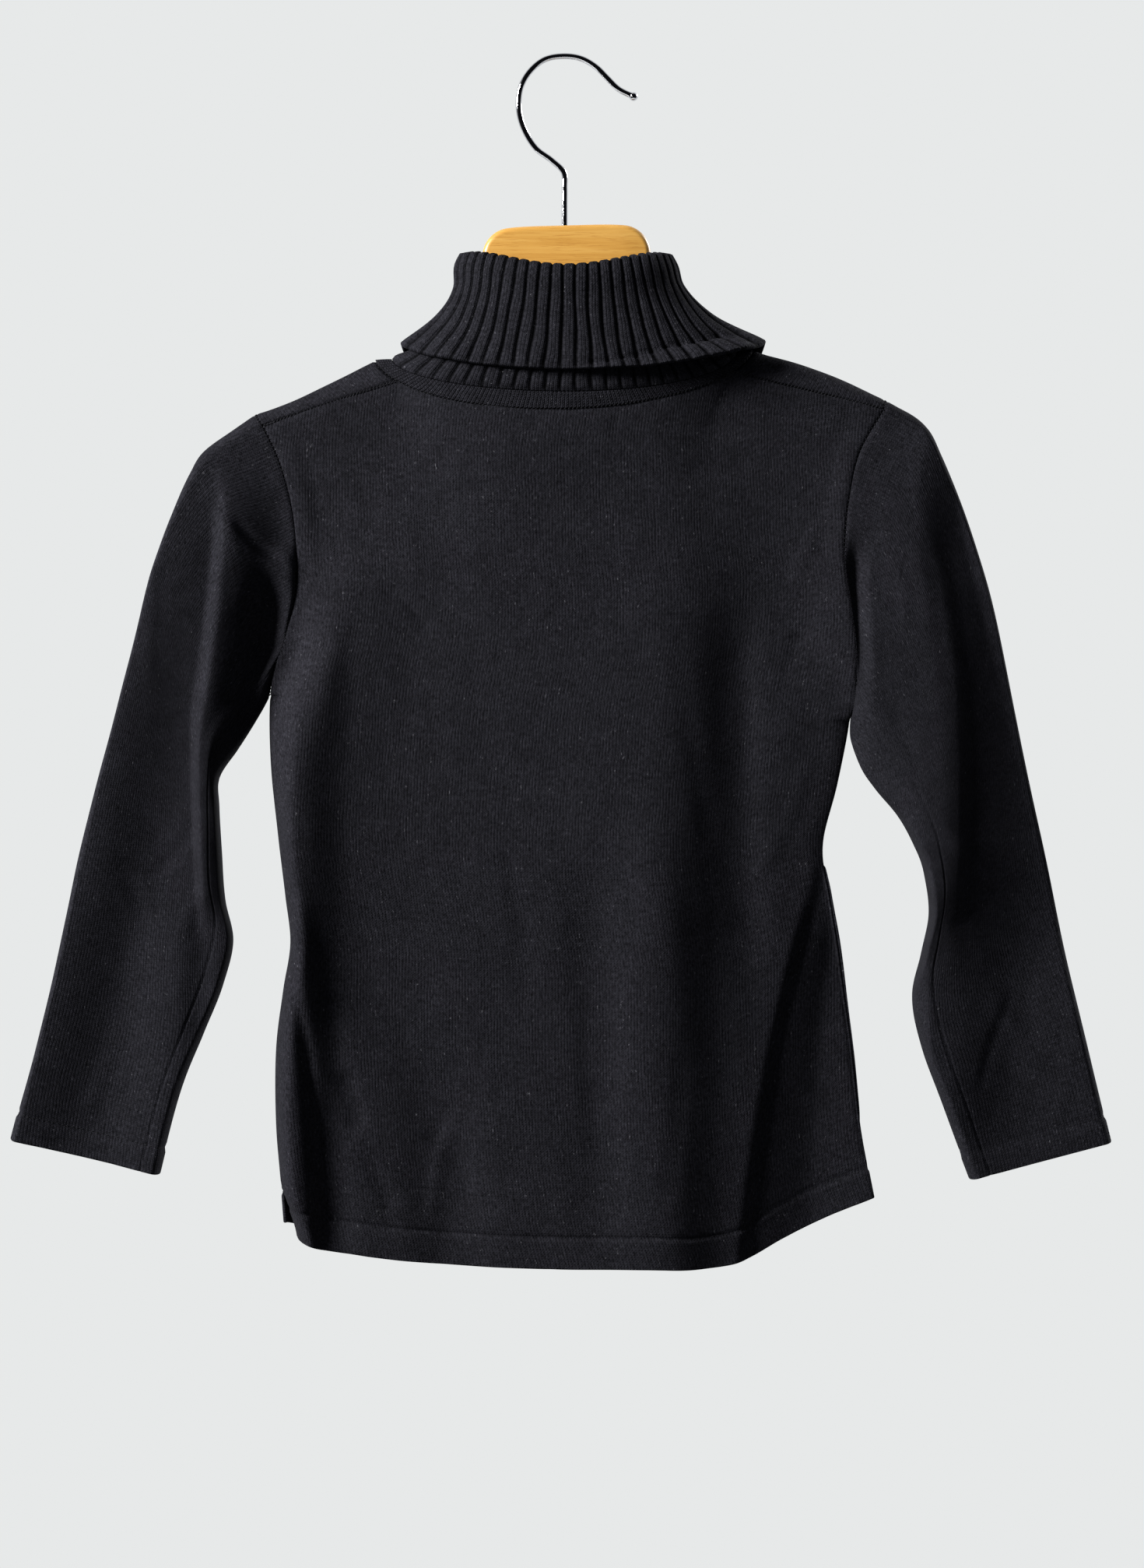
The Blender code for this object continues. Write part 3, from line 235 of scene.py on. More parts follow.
def fold_rise(table, x, z):
    """Sum of the folds' heights: across each one a raised cosine or a straight flank, or a mix of the
    two; along it a smooth start and end."""
    total = np.zeros_like(x)
    for top_x, top_z, bottom_x, bottom_z, bow, left, low_left, right, low_right, rise, straight in table:
        length = math.hypot(bottom_x - top_x, bottom_z - top_z)
        along_x, along_z = (bottom_x - top_x) / length, (bottom_z - top_z) / length
        along = ((x - top_x) * along_x + (z - top_z) * along_z) / length
        across = (z - top_z) * along_x - (x - top_x) * along_z - bow * 4.0 * along * (1.0 - along)
        down = np.clip(along, 0.0, 1.0)
        reach = np.where(across < 0.0, left + (low_left - left) * down, right + (low_right - right) * down)
        share = np.abs(across) / reach
        soft = 0.5 + 0.5 * np.cos(np.pi * np.minimum(share, 1.0))
        left_over = 1.0 + CREST_ROUND - np.hypot(share, CREST_ROUND)
        flat = np.where(share < 1.5, 0.5 * (left_over + np.hypot(left_over, FOOT_ROUND)), 0.0)
        ends = ease(along / FOLD_FADE) * ease((1.0 - along) / FOLD_FADE)
        total += rise * (soft + (flat - soft) * straight) * ends
    return total


def small_relief(points, creases, turn):
    """Creases, each as wide at its bottom as at its top, and the slow unevenness of hanging jersey: six
    long waves of unlike directions, a third of a millimetre high."""
    x, z, k = points[..., 0], points[..., 2], np.arange(6)
    angle, length = turn + 2.4 * k, 26.0 + 15.0 * k
    phase = (x[..., None] * np.cos(angle) + z[..., None] * np.sin(angle) * 0.55) / length * 2.0 * np.pi
    waves = (np.sin(phase + 1.7 * k + turn) * 0.002 * length).sum(axis=-1)
    folds = [row[:5] + (row[5], row[5], row[6], row[6]) + row[7:] for row in creases]
    return fold_rise(folds, x, z) + waves


def over_ridge(size):
    """From 0 on a shoulder ridge to 1 at the middle of the back or front, rounded over the ridge."""
    return (np.hypot(size, RIDGE_ROUND) - RIDGE_ROUND) / (math.hypot(1.0, RIDGE_ROUND) - RIDGE_ROUND)


def neckline(angle):
    """Neckline as a ring: 0 is the right ridge, a quarter turn the back, half the left ridge."""
    across, deep = np.cos(angle), np.sin(angle)
    behind, size = deep >= 0.0, np.abs(deep)
    y = np.where(behind, -NECK_DEPTH * size**0.75, NECK_DEPTH * size**0.6)
    drop = np.where(behind, NECK_DROP["back"], NECK_DROP["front"])
    return vectors(swing(*NECK_X, across), y, swing(*NECK_Z, across) - drop * over_ridge(size))


def corner_angle(face, side):
    """Angle on the neckline where the shoulder line of a face meets it."""
    turn = math.asin(CORNER[face])
    return turn if side == "right" else math.pi - turn


def seam_forward(station):
    """How far forward the right side seam hangs: all of it from the hip down, nothing at the waist."""
    return RIGHT_SEAM_FORWARD * ease((WAIST - station) / WAIST_TO_HIP)


def body_edge(side, face, station):
    """Side fold below the armpit and armhole seam above it, at a station from the hem to the tip."""
    left_x, left_z, right_x, right_z, depth = np.moveaxis(read(BODY_EDGE, station), -1, 0)
    depth = depth * round_edge(station - ARMPIT, UNDERARM_ROUND)
    x, z = (left_x, left_z) if side == "left" else (right_x, right_z)
    if face == "back" and side == "left":
        # The back's low left corner hangs in from the front's, a little lower, and the two part there.
        corner = ease((CORNER_REACH - station) / CORNER_REACH)
        x, z = x + CORNER_IN * corner, z - CORNER_DOWN * corner
    forward = seam_forward(station) if side == "right" else 0.0
    return vectors(x, (-depth if face == "back" else depth) + forward, z)


def top_line(face, share):
    """Upper edge of a face, shoulder, neckline, shoulder: two straight lines and a part of the ring."""
    corners = [neckline(np.array(corner_angle(face, side))) for side in ("left", "right")]
    tips = [body_edge(side, face, np.array(1.0)) for side in ("left", "right")]
    left = (share / SHOULDER_SHARE)[..., None]
    right = ((1.0 - share) / SHOULDER_SHARE)[..., None]
    start, end = corner_angle(face, "left"), corner_angle(face, "right")
    middle = (share - SHOULDER_SHARE) / (1.0 - 2.0 * SHOULDER_SHARE)
    if face == "front":
        end += 2.0 * math.pi
    ring = neckline(start + (end - start) * np.clip(middle, 0.0, 1.0))
    line = np.where(left < 1.0, tips[0] + (corners[0] - tips[0]) * left, ring)
    return np.where(right < 1.0, tips[1] + (corners[1] - tips[1]) * right, line)


def body_face(face, share, station):
    """Back or front: a patch between hem, sides and top line, stood off the hanger and folded."""
    share, station = np.meshgrid(share, station)
    hem = read(HEM, share)[..., 0 if face == "back" else 1]
    low_left, low_right = body_edge("left", face, np.zeros(())), body_edge("right", face, np.zeros(()))
    left, right = body_edge("left", face, station), body_edge("right", face, station)
    top = top_line(face, share)
    top_left, top_right = top_line(face, np.array([0.0, 1.0]))
    x = (station * top[..., 0] + (1 - share) * left[..., 0] + share * right[..., 0]
         - station * ((1 - share) * top_left[0] + share * top_right[0]))
    z = ((1 - station) * hem + station * top[..., 2] + (1 - share) * left[..., 2]
         + share * right[..., 2] - (1 - station) * ((1 - share) * low_left[2] + share * low_right[2])
         - station * ((1 - share) * top_left[2] + share * top_right[2]))
    from_left, from_right = x - left[..., 0], right[..., 0] - x
    rounded = round_edge(from_left, SIDE_ROUND) * round_edge(from_right, SIDE_ROUND)
    seam_rise = ease(from_left / SEAM_EASE) * ease(from_right / SEAM_EASE)
    past_start = station - ARMPIT + BELOW_ARMPIT
    above = ease(past_start / (2.0 * BELOW_ARMPIT))
    turn = rounded * (1.0 - above) + seam_rise * above
    # Inside the edge the depth of the armhole comes in slowly, so that no crease starts at the armpit.
    slow = read(BODY_EDGE, station)[..., 4] * ease(past_start / ARMHOLE_SLOW)
    near_edge = 1.0 - ease(np.minimum(from_left, from_right) / EDGE_REACH)
    edge_depth = np.abs(left[..., 1]) * near_edge + slow * (1.0 - near_edge)
    off = read(STAND_OFF, station)
    depth = {}
    for name, column, folds in (("back", 0, BACK_FOLDS), ("front", 1, FRONT_FOLDS)):
        plain = edge_depth + (off[..., column] - edge_depth) * turn
        depth[name] = plain + fold_rise(folds, x, z) * np.maximum(rounded * (1 - above), turn)
    # The right side seam hangs forward, and both faces follow it close to their edge.
    forward = seam_forward(station) * (1.0 - round_edge(from_right, SIDE_ROUND))
    depth["back"], depth["front"] = depth["back"] - forward, depth["front"] + forward
    kept_apart = np.maximum(depth["back"], BODY_HOLLOW * turn - depth["front"])
    depth["back"] = np.where(turn > BODY_INNER, kept_apart, depth["back"])
    # Up to the top line the face eases to that line's depth, taken as a mean over some of its length.
    beside = np.linspace(-TOP_SPREAD, TOP_SPREAD, 9)[:, None, None]
    beside = beside * ease((1.0 - station) / TOP_SPREAD_TO)
    top_depth = np.abs(top_line(face, np.clip(share + beside, 0.0, 1.0))[..., 1]).mean(axis=0)
    to_top = ease((station - TOP_FROM) / (1.0 - TOP_FROM)) * ease(turn * 3.0 + (station >= 1.0))
    deep = depth[face] + (top_depth - depth[face]) * to_top
    points = vectors(x, -deep if face == "back" else deep, z)
    points = np.where((share == 0.0)[..., None], left, points)
    return np.where((share == 1.0)[..., None], right, points)


# The panel is cut finer towards its edges, so that each one can be rounded and turned over.
BORDER = np.array([0.0, 0.0003, 0.0009, 0.0018, 0.003, 0.0048])
ARMHOLE_CROWD = 0.12               # rows stand closer together at the armpit
ARMHOLE = np.hypot(np.linspace(0.0, 1.0, 78), ARMHOLE_CROWD) - ARMHOLE_CROWD
ARMHOLE /= math.hypot(1.0, ARMHOLE_CROWD) - ARMHOLE_CROWD
ARMHOLE = np.unique(np.concatenate([ARMHOLE, 1.0 - BORDER[:-1] * 2.0]))
HEM_LINE = np.linspace(0.030, 0.044, 12)
BODY_ROWS = np.concatenate([BORDER, np.linspace(0.0085, HEM_LINE[0], 8)[:-1], HEM_LINE,
                            np.linspace(HEM_LINE[-1], ARMPIT, 132)[1:-1],
                            ARMPIT + (1.0 - ARMPIT) * ARMHOLE])
SIDE_TURN = np.concatenate([[0.0, 0.015, 0.045, 0.09], np.linspace(0.16, np.pi / 2, 12)])
SHOULDER_COLUMNS = np.concatenate([0.05 * (1.0 - np.cos(SIDE_TURN)),
                                   np.linspace(0.05, SHOULDER_SHARE, 28)[1:]])
BODY_COLUMNS = np.concatenate([SHOULDER_COLUMNS,
                               np.linspace(SHOULDER_SHARE, 1.0 - SHOULDER_SHARE, 96)[1:-1],
                               1.0 - SHOULDER_COLUMNS[::-1]])


def grid_faces(row_count, column_count, closed=False, flip=False):
    """Four-sided faces of a grid row by row, as points and as places on a grid that isn't closed."""
    index = np.arange(row_count * column_count).reshape(row_count, column_count)
    spread = index
    if closed:
        index = ring_closed(index)
        spread = np.arange(row_count * (column_count + 1)).reshape(row_count, column_count + 1)
    corners = [np.stack([g[:-1, :-1], g[:-1, 1:], g[1:, 1:], g[1:, :-1]], axis=-1).reshape(-1, 4)
               for g in (index, spread)]
    return [faces[:, ::-1] for faces in corners] if flip else corners


def ring_closed(rings):
    """Rings with their first column again as the last."""
    return np.concatenate([rings, rings[:, :1]], axis=1)


def run_along(points, axis):
    """Length along a grid's lines: the running sum of the steps between neighbours."""
    step = np.linalg.norm(np.diff(points, axis=axis), axis=-1)
    start = np.zeros_like(np.take(step, [0], axis=axis))
    return np.concatenate([start, np.cumsum(step, axis=axis)], axis=axis)


def centred(lengths, middle):
    """Lengths along each row, counted from one column."""
    return lengths - lengths[:, [middle]]


def surface_normals(points, faces):
    """Unit normal at each point: the mean of its faces' normals, each as long as its face is large."""
    flat = np.cross(points[faces[:, 2]] - points[faces[:, 0]], points[faces[:, 3]] - points[faces[:, 1]])
    index, each = faces.reshape(-1), np.repeat(flat, 4, axis=0)
    return unit(vectors(*(np.bincount(index, each[:, k], minlength=len(points)) for k in range(3))))


def border_of(faces, count):
    """Edges that only one face has, as (from, to)."""
    start, end = faces.reshape(-1), np.roll(faces, -1, axis=1).reshape(-1)
    alone = ~np.isin(start * count + end, end * count + start)
    return start[alone], end[alone]


def distance_to(points, line):
    """Distance of each point from the nearest point of a line, found in slices of the points."""
    return np.concatenate([np.sqrt(((part[:, None] - line[None]) ** 2).sum(-1).min(axis=1))
                           for part in np.array_split(points, max(1, len(points) // 4000))])


def cloth_part(grid, places, **faces):
    """Grid as a cloth surface: points, faces, places on the flat cloth, faces of those places."""
    corners, flat_corners = grid_faces(*grid.shape[:2], **faces)
    return grid.reshape(-1, 3), corners, places.reshape(-1, 2), flat_corners


def sew(parts):
    """Join cloth surfaces into one; points that coincide become one."""
    points, faces, places, flat_faces = zip(*parts)
    starts, flat_starts = (np.cumsum([0] + [len(each) for each in kind]) for kind in (points, places))
    faces = np.concatenate([each + start for each, start in zip(faces, starts)])
    flat_faces = np.concatenate([each + start for each, start in zip(flat_faces, flat_starts)])
    points, places = np.concatenate(points), np.concatenate(places)
    _, first, same = np.unique(np.round(points, 4), axis=0, return_index=True, return_inverse=True)
    return points[first], same.reshape(-1)[faces], places, flat_faces


def mesh_object(name, points, faces, finish):
    """Smooth mesh of one material, from points in millimetres."""
    mesh = bpy.data.meshes.new(name)
    mesh.from_pydata((points.reshape(-1, 3) * MM).tolist(), [], faces)
    mesh.shade_smooth()
    mesh.materials.append(finish)
    piece = bpy.data.objects.new(name, mesh)
    bpy.context.scene.collection.objects.link(piece)
    return piece


def cloth_object(name, outer, inner, surface, finish):
    """Closed wall between two surfaces with a rim, its flat places kept as a UV map in decimetres."""
    _, faces, places, flat_faces = surface
    count = len(outer)
    start, end = border_of(faces, count)
    rim = np.stack([end, start, start + count, end + count], axis=1)
    every = np.concatenate([faces, faces[:, ::-1] + count, rim])
    place_of = np.zeros((count, 2))
    place_of[faces.reshape(-1)] = places[flat_faces.reshape(-1)]
    loops = (places[flat_faces], places[flat_faces[:, ::-1]], place_of[rim % count])
    piece = mesh_object(name, np.concatenate([outer, inner]), every.tolist(), finish)
    piece.data.uv_layers.new(name="cloth").data.foreach_set("uv", np.concatenate(loops).ravel() * 0.01)
    return piece


PANEL_EDGE = 0.6                  # reach of the rounding where the cloth ends
RIM = 0.03                        # half the wall that is left at the very edge
HEM_LAYER, HEM_FADE = 0.45, 1.6
HEM_STITCH, HEM_STITCH_REACH = 0.75, 1.2
SEAM_SINK, SEAM_SINK_ABOVE, SEAM_REACH = 0.10, 0.35, 2.2
SINK_FROM, SINK_OVER = -350.0, 20.0


def jersey_wall(points, normals, from_seam, from_hem, hem):
    """Outer and inner surface of a knitted panel.

    The outer one rises by a second layer in the hem, dips in the line of stitches above it, and sinks
    beside a seam, deeper beside the armhole and shoulder seams; both close to a rounded edge where the
    cloth ends.
    """
    above = ease((points[:, 2] - SINK_FROM) / SINK_OVER)
    edge = round_edge(np.minimum(from_seam, from_hem), PANEL_EDGE)
    layer = HEM_LAYER * (1.0 - ease((from_hem - hem + HEM_FADE / 2) / HEM_FADE))
    stitched = HEM_STITCH * np.exp(-((from_hem - hem) / HEM_STITCH_REACH) ** 2)
    sunk = (SEAM_SINK + SEAM_SINK_ABOVE * above) * (1.0 - ease(from_seam / SEAM_REACH))
    middle = -BODY_WALL / 2 - sunk
    outer = middle + (BODY_WALL / 2 + layer - stitched) * edge + RIM
    inner = middle - BODY_WALL / 2 * edge - RIM
    return points + normals * outer[:, None], points + normals * inner[:, None]


class Shader:
    """A node tree being wired: each call adds a node and returns the output that is asked for."""

    def __init__(self, owner, surface="Principled BSDF"):
        owner.use_nodes = True
        self.owner, self.tree = owner, owner.node_tree
        self.surface = self.tree.nodes[surface]

    def give(self, node, **inputs):
        """Set or link inputs: i2 is the third one, Base_Color the one of that name."""
        for key, value in inputs.items():
            socket = node.inputs[int(key[1:]) if key[1:].isdigit() else key.replace("_", " ")]
            if isinstance(value, bpy.types.NodeSocket):
                self.tree.links.new(value, socket)
            else:
                socket.default_value = value

    def add(self, kind, output=0, settings=(), **inputs):
        node = self.tree.nodes.new("ShaderNode" + kind)
        for key, value in dict(settings).items():
            setattr(node, key, value)
        self.give(node, **inputs)
        return node.outputs[output]

    def math(self, operation, first, second=0.0, third=0.0):
        return self.add("Math", settings={"operation": operation}, i0=first, i1=second, i2=third)

    def times(self, first, second, plus=None):
        """First times second, and plus a third where it is given."""
        if plus is None:
            return self.math("MULTIPLY", first, second)
        return self.math("MULTIPLY_ADD", first, second, plus)

    def noise(self, place, scale, detail, roughness=0.5, **inputs):
        return self.add("TexNoise", Vector=place, Scale=scale, Detail=detail, Roughness=roughness, **inputs)

    def mix(self, share, first, second, blend="MIX"):
        settings = {"data_type": "RGBA", "blend_type": blend}
        return self.add("Mix", output=2, settings=settings, i0=share, i6=first, i7=second)

    def ramp(self, factor, *stops):
        out = self.add("ValToRGB", i0=factor)
        elements = out.node.color_ramp.elements
        while len(elements) < len(stops):
            elements.new(1.0)
        for element, (at, colour) in zip(elements, stops):
            element.position, element.color = at, (*colour, 1.0)
        return out

    def finish(self, **inputs):
        """Give the surface its inputs and return what is finished."""
        self.give(self.surface, **inputs)
        return self.owner


YARN = (0.0118, 0.0116, 0.0144, 1.0)
FLECK = (0.085, 0.084, 0.092, 1.0)


def knit(name, wale=1.65, course=1.25, depth=0.20, ribbing=0.10, pitch=None):
    """Stockinette of fine yarn: columns of V stitches from the flat place, fuzz and flecks over them.

    Across a wale the height is the sine of the distance from its middle, taken twice, so that each
    stitch has two legs; along it a cosine whose phase runs back from the middle gives the V.  With a
    pitch, painted shade darkens the colour down in the groove between two ribs.
    """
    s = Shader(bpy.data.materials.new(name))
    flat_x = s.add("SeparateXYZ", i0=s.add("UVMap", settings={"uv_map": "cloth"}))
    flat_y = flat_x.node.outputs[1]
    solid = s.add("TexCoord", output=3)
    across = s.times(flat_x, 100.0 / wale, s.times(s.noise(solid, 90.0, 2.0), 0.8))
    leg = s.times(s.math("PINGPONG", across, 0.5), 2.0)
    legs = s.math("SINE", s.times(leg, math.pi))
    groove = s.math("SINE", s.times(leg, math.pi / 2))
    row = s.math("COSINE", s.times(s.times(leg, 0.7, s.times(flat_y, 100.0 / course)), 2.0 * math.pi))
    stitch = s.times(s.times(legs, 0.55, groove), s.times(row, 0.22, 0.6))
    fuzz_place, hair_place = (
        s.add("CombineXYZ", i0=s.times(flat_x, 100.0), i1=s.times(flat_y, along), i2=off)
        for along, off in ((62.0, 0.0), (24.0, 4.0)))
    fuzz = s.noise(fuzz_place, 0.82, 3.0, 0.72)
    hairs = s.noise(hair_place, 0.9, 4.0, 0.7)
    lint = s.noise(hair_place, 0.62, 2.0, 0.8)
    shade = s.math("MAXIMUM", s.times(fuzz, 3.4, -0.70), 0.15)
    for pattern, strength, least in (
            (hairs, 1.4, 0.3), (s.noise(solid, 110.0, 3.0, 0.6), 0.8, 0.6),
            (s.noise(solid, 22.0, 2.0), 0.3, 0.85), (stitch, ribbing, 1.0 - 0.62 * ribbing)):
        shade = s.times(shade, s.times(pattern, strength, least))
    if pitch:
        # Painted shade: towards the groove between two ribs the colour is darkened, down to about a fifth.
        rib = s.times(s.math("PINGPONG", s.times(flat_x, 100.0 / pitch), 0.5), 2.0)
        shade = s.times(shade, s.add("MapRange", i0=rib, i1=0.04, i2=0.34, i3=0.22, i4=1.0))
    flecks = s.ramp(s.times(fuzz, lint), (0.395, (0.0, 0.0, 0.0)), (0.44, (1.0, 1.0, 1.0)))
    body = s.mix(1.0, YARN, shade, "MULTIPLY")
    stitches = s.add("Bump", i0=0.85, i1=depth * MM, Height=stitch)
    nap = s.add("Bump", i0=0.7, i1=0.16 * MM, Height=s.math("ADD", fuzz, hairs), Normal=stitches)
    return s.finish(Base_Color=s.mix(s.times(flecks, 0.8), body, FLECK), Roughness=0.88,
                    Specular_IOR_Level=0.03, Normal=nap)


JERSEY = knit("black_jersey")


def hang(piece, node, slot, **cut):
    """All pieces are one body; where a piece stands for a CAD solid, that solid is hidden. The cut is not
    used.
    """
    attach(piece, "root")
    if node:
        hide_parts(node)


def jersey_panel(name, surface, seams, hem_line, creases, turn, hem=BODY_HEM, still=None, valley=0.0):
    """Cloth wall over a surface, with small relief that fades towards the edges that hold it still."""
    points, faces = surface[:2]
    normals = surface_normals(points, faces)
    fade = ease(distance_to(points, seams if still is None else still) / CREASE_FADE)
    points = points + normals * (small_relief(points, creases, turn) * fade)[:, None]
    from_seam, from_hem = distance_to(points, seams), distance_to(points, hem_line)
    outer, inner = jersey_wall(points, normals, from_seam, from_hem, hem)
    return cloth_object(name, outer - normals * valley, inner, surface, JERSEY)


back_grid = body_face("back", BODY_COLUMNS, BODY_ROWS)
middle_column = len(BODY_COLUMNS) // 2
back_place = vectors(centred(run_along(back_grid, 1), middle_column), run_along(back_grid, 0))
back_sides = back_grid[:, [0, -1]].reshape(-1, 3)
back = jersey_panel("back_panel", sew([cloth_part(back_grid, back_place)]),
                    np.concatenate([back_grid[-1], back_sides]), back_grid[0], BACK_CREASES,
                    WAVE_TURN["back"], still=back_sides)
hang(back, "back", "knit", flat=(0.35, 0.465), held="hung", area=0.141)


# ---- Front ---------------------------------------------------------------------------------------
# The front is a panel like the back with a deeper neck.  It is cut higher and comes over the ridge of
# each shoulder, so that the shoulder seams lie on the back.
SHOULDER_RIDGE = {"left": (-159.2, -183.6, -1.5), "right": (166.4, -176.4, 2.5)}   # x, z, sag
FRONT_CREASES = (
    (-60, -384, 66, -382.5, -1, 3.2, 3, 0.5, 0),
    (-118, -250, -78, -296, -3, 6, 6, -0.9, 0),
    (116, -246, 80, -300, 4, 6, 7, -0.9, 0),
    (-40, -244, 44, -240, 6, 6, 6, -0.7, 0),
    (-56, -262, 30, -274, 5, 7, 6, 0.6, 0),
    (-124, -300, -106, -350, 4, 6, 6, 0.9, 0),
    (126, -306, 112, -360, -3, 6, 6, 0.9, 0),
    (-96, -420, -84, -520, 4, 8, 8, -0.9, 0),
    (36, -430, 28, -560, -4, 9, 9, 0.8, 0),
    (94, -460, 104, -560, 4, 8, 8, -0.9, 0),
    (-30, -500, -40, -596, 3, 8, 8, 0.8, 0),
)
OVER_SHOULDER = 18
SHOULDER_PART = {"left": slice(0, len(SHOULDER_COLUMNS)), "right": slice(-len(SHOULDER_COLUMNS), None)}


def shoulder_arc(side, over):
    """Half a wave over the shoulder ridge at the armhole, from the front tip to the back tip."""
    ridge_x, ridge_z, _ = SHOULDER_RIDGE[side]
    tip = body_edge(side, "back", np.array(1.0))
    turn = np.sin(np.pi * over)
    return vectors(tip[0] + (ridge_x - tip[0]) * turn, -tip[1] * np.cos(np.pi * over),
                   tip[2] + (ridge_z - tip[2]) * turn)


def over_shoulder(side, along, front_line, back_line):
    """Strip over the shoulder: a patch between the front's edge, the seam, the arc and the neckline."""
    over = np.linspace(0.0, 1.0, OVER_SHOULDER + 1)
    start, end = corner_angle("front", side), corner_angle("back", side)
    p, a = along[None, :, None], over[:, None, None]
    first, last = (0, -1) if side == "left" else (-1, 0)
    patch = ((1 - a) * front_line[None] + a * back_line[None]
             + (1 - p) * shoulder_arc(side, over)[:, None]
             + p * neckline(start + (end - start) * over)[:, None]
             - (1 - p) * ((1 - a) * front_line[first] + a * back_line[first])
             - p * ((1 - a) * front_line[last] + a * back_line[last]))
    patch[..., 2] += (SHOULDER_RIDGE[side][2] * 4.0 * p * (1 - p) * np.sin(np.pi * a))[..., 0]
    return patch


front_grid = body_face("front", BODY_COLUMNS, BODY_ROWS)
front_place = vectors(centred(run_along(front_grid, 1), middle_column), run_along(front_grid, 0))
front_parts = [cloth_part(front_grid, front_place, flip=True)]
front_neck = front_grid[-1, len(SHOULDER_COLUMNS) - 1:1 - len(SHOULDER_COLUMNS)]
seam_line = [front_grid[:, 0], front_grid[:, -1], front_neck]
for side, columns in SHOULDER_PART.items():
    from_tip = BODY_COLUMNS[columns] if side == "left" else 1.0 - BODY_COLUMNS[columns]
    strip = over_shoulder(side, from_tip / SHOULDER_SHARE, front_grid[-1, columns], back_grid[-1, columns])
    strip_place = vectors(front_place[-1, columns, 0], front_place[-1, columns, 1] + run_along(strip, 0))
    front_parts.append(cloth_part(strip, strip_place, flip=True))
    seam_line += [strip[-1], strip[:, 0], strip[:, -1]]
front = jersey_panel("front_panel", sew(front_parts), np.concatenate(seam_line), front_grid[0],
                     FRONT_CREASES, WAVE_TURN["front"])
hang(front, "front", "knit", flat=(0.365, 0.47), held="hung", area=0.131)


# ---- Sleeves -------------------------------------------------------------------------------------
# Two long set-in sleeves of the same jersey, each one panel closed along the underarm seam, with a
# turned-up hem at the cuff.  They are linked into the armholes and hang flat beside the body.
SLEEVE = (
    # station; left outer x, outer z, inner x, inner z, back; the same of the right; front of both
    (0.00, -159.2, -183.6, -151.6, -328.8, 12, 166.4, -176.4, 148, -342.4, 12, 11),
    (0.05, -171, -191.8, -155.6, -336, 12.5, 180.8, -183.8, 148.8, -352, 12.5, 11),
    (0.10, -184.6, -201.6, -161, -345, 13.5, 188.6, -191, 153.4, -365, 13.5, 11.5),
    (0.17, -192.8, -214.5, -168.6, -357, 14, 195.4, -204.6, 161.2, -377, 15, 12),
    (0.25, -201, -235, -177.4, -370.5, 15, 203.8, -225, 172.4, -390, 17, 12),
    (0.36, -210.8, -263, -178.2, -388, 15, 213.6, -254, 181.6, -405.6, 19, 12),
    (0.48, -221.8, -304, -176.8, -412, 14, 223.6, -290, 187.4, -422, 19, 12),
    (0.58, -233.2, -346, -174.8, -436, 13.5, 234, -339.6, 189.4, -444, 17.5, 12),
    (0.66, -241.6, -379, -170.8, -456, 13, 242.4, -380, 185, -463, 16, 12),
    (0.74, -250, -414, -175.8, -478, 12, 250.6, -418, 180.2, -483, 15, 11.5),
    (0.84, -261.2, -465.6, -186.4, -504, 11, 261.4, -471, 185.2, -511, 13.5, 11),
    (0.93, -273.6, -515, -199.2, -536, 10, 272.6, -518, 196.8, -541.6, 12, 10),
    (1.00, -284.8, -557.2, -209.2, -575.6, 9, 282.8, -558.8, 210.4, -578, 11, 9),
)
SLEEVE_ROUND = {"left": (4.0, 3.2), "right": (4.0, 3.6)}    # reach of the outer and inner edge
CUFF_HEM = 14.0
CUFF_LINE = np.linspace(0.957, 0.973, 11)
SLEEVE_ROWS, SLEEVE_CROWD = 166, 1.12
ARMHOLE_EASE = 0.40
# The underarm seam is a narrow valley on the back, beside the inner edge from armpit to cuff.
UNDERARM_COLUMN = {"left": 15, "right": 17}
UNDERARM_DEEP = 0.6
SLEEVE_CREASES = {
    "left": (
        (-170, -238, -136, -268, -2, 4, 5, -1.8, 0),
        (-186, -224, -166, -262, 4, 6, 5, 0.50, 0),
        (-166, -300, -176, -360, 4, 5, 5, 0.50, 0),
        (-206, -250, -212, -330, -3, 6, 7, 0.44, 0),
        (-188, -392, -214, -424, 3, 6, 6, -0.50, 0),
        (-180, -424, -204, -470, -3, 6, 7, 0.44, 0),
        (-232, -410, -216, -448, 3, 6, 6, -0.44, 0),
        (-226, -486, -250, -552, 3, 7, 7, 0.39, 0),
        (-214, -540, -252, -528, 2, 4, 4, -0.22, 0),
    ),
    "right": (
        (166, -250, 176, -300, 3, 5, 6, 0.50, 0),
        (180, -226, 196, -280, -4, 6, 6, -0.44, 0),
        (164, -330, 184, -380, 3, 5, 6, -0.50, 0),
        (190, -390, 222, -420, -3, 6, 6, 0.44, 0),
        (196, -452, 226, -432, 3, 6, 6, -0.44, 0),
        (234, -476, 212, -540, -3, 4, 5, -0.55, 0),
        (214, -480, 246, -530, 4, 8, 8, 0.39, 0),
        (262, -500, 252, -552, 2, 6, 6, 0.33, 0),
    ),
}


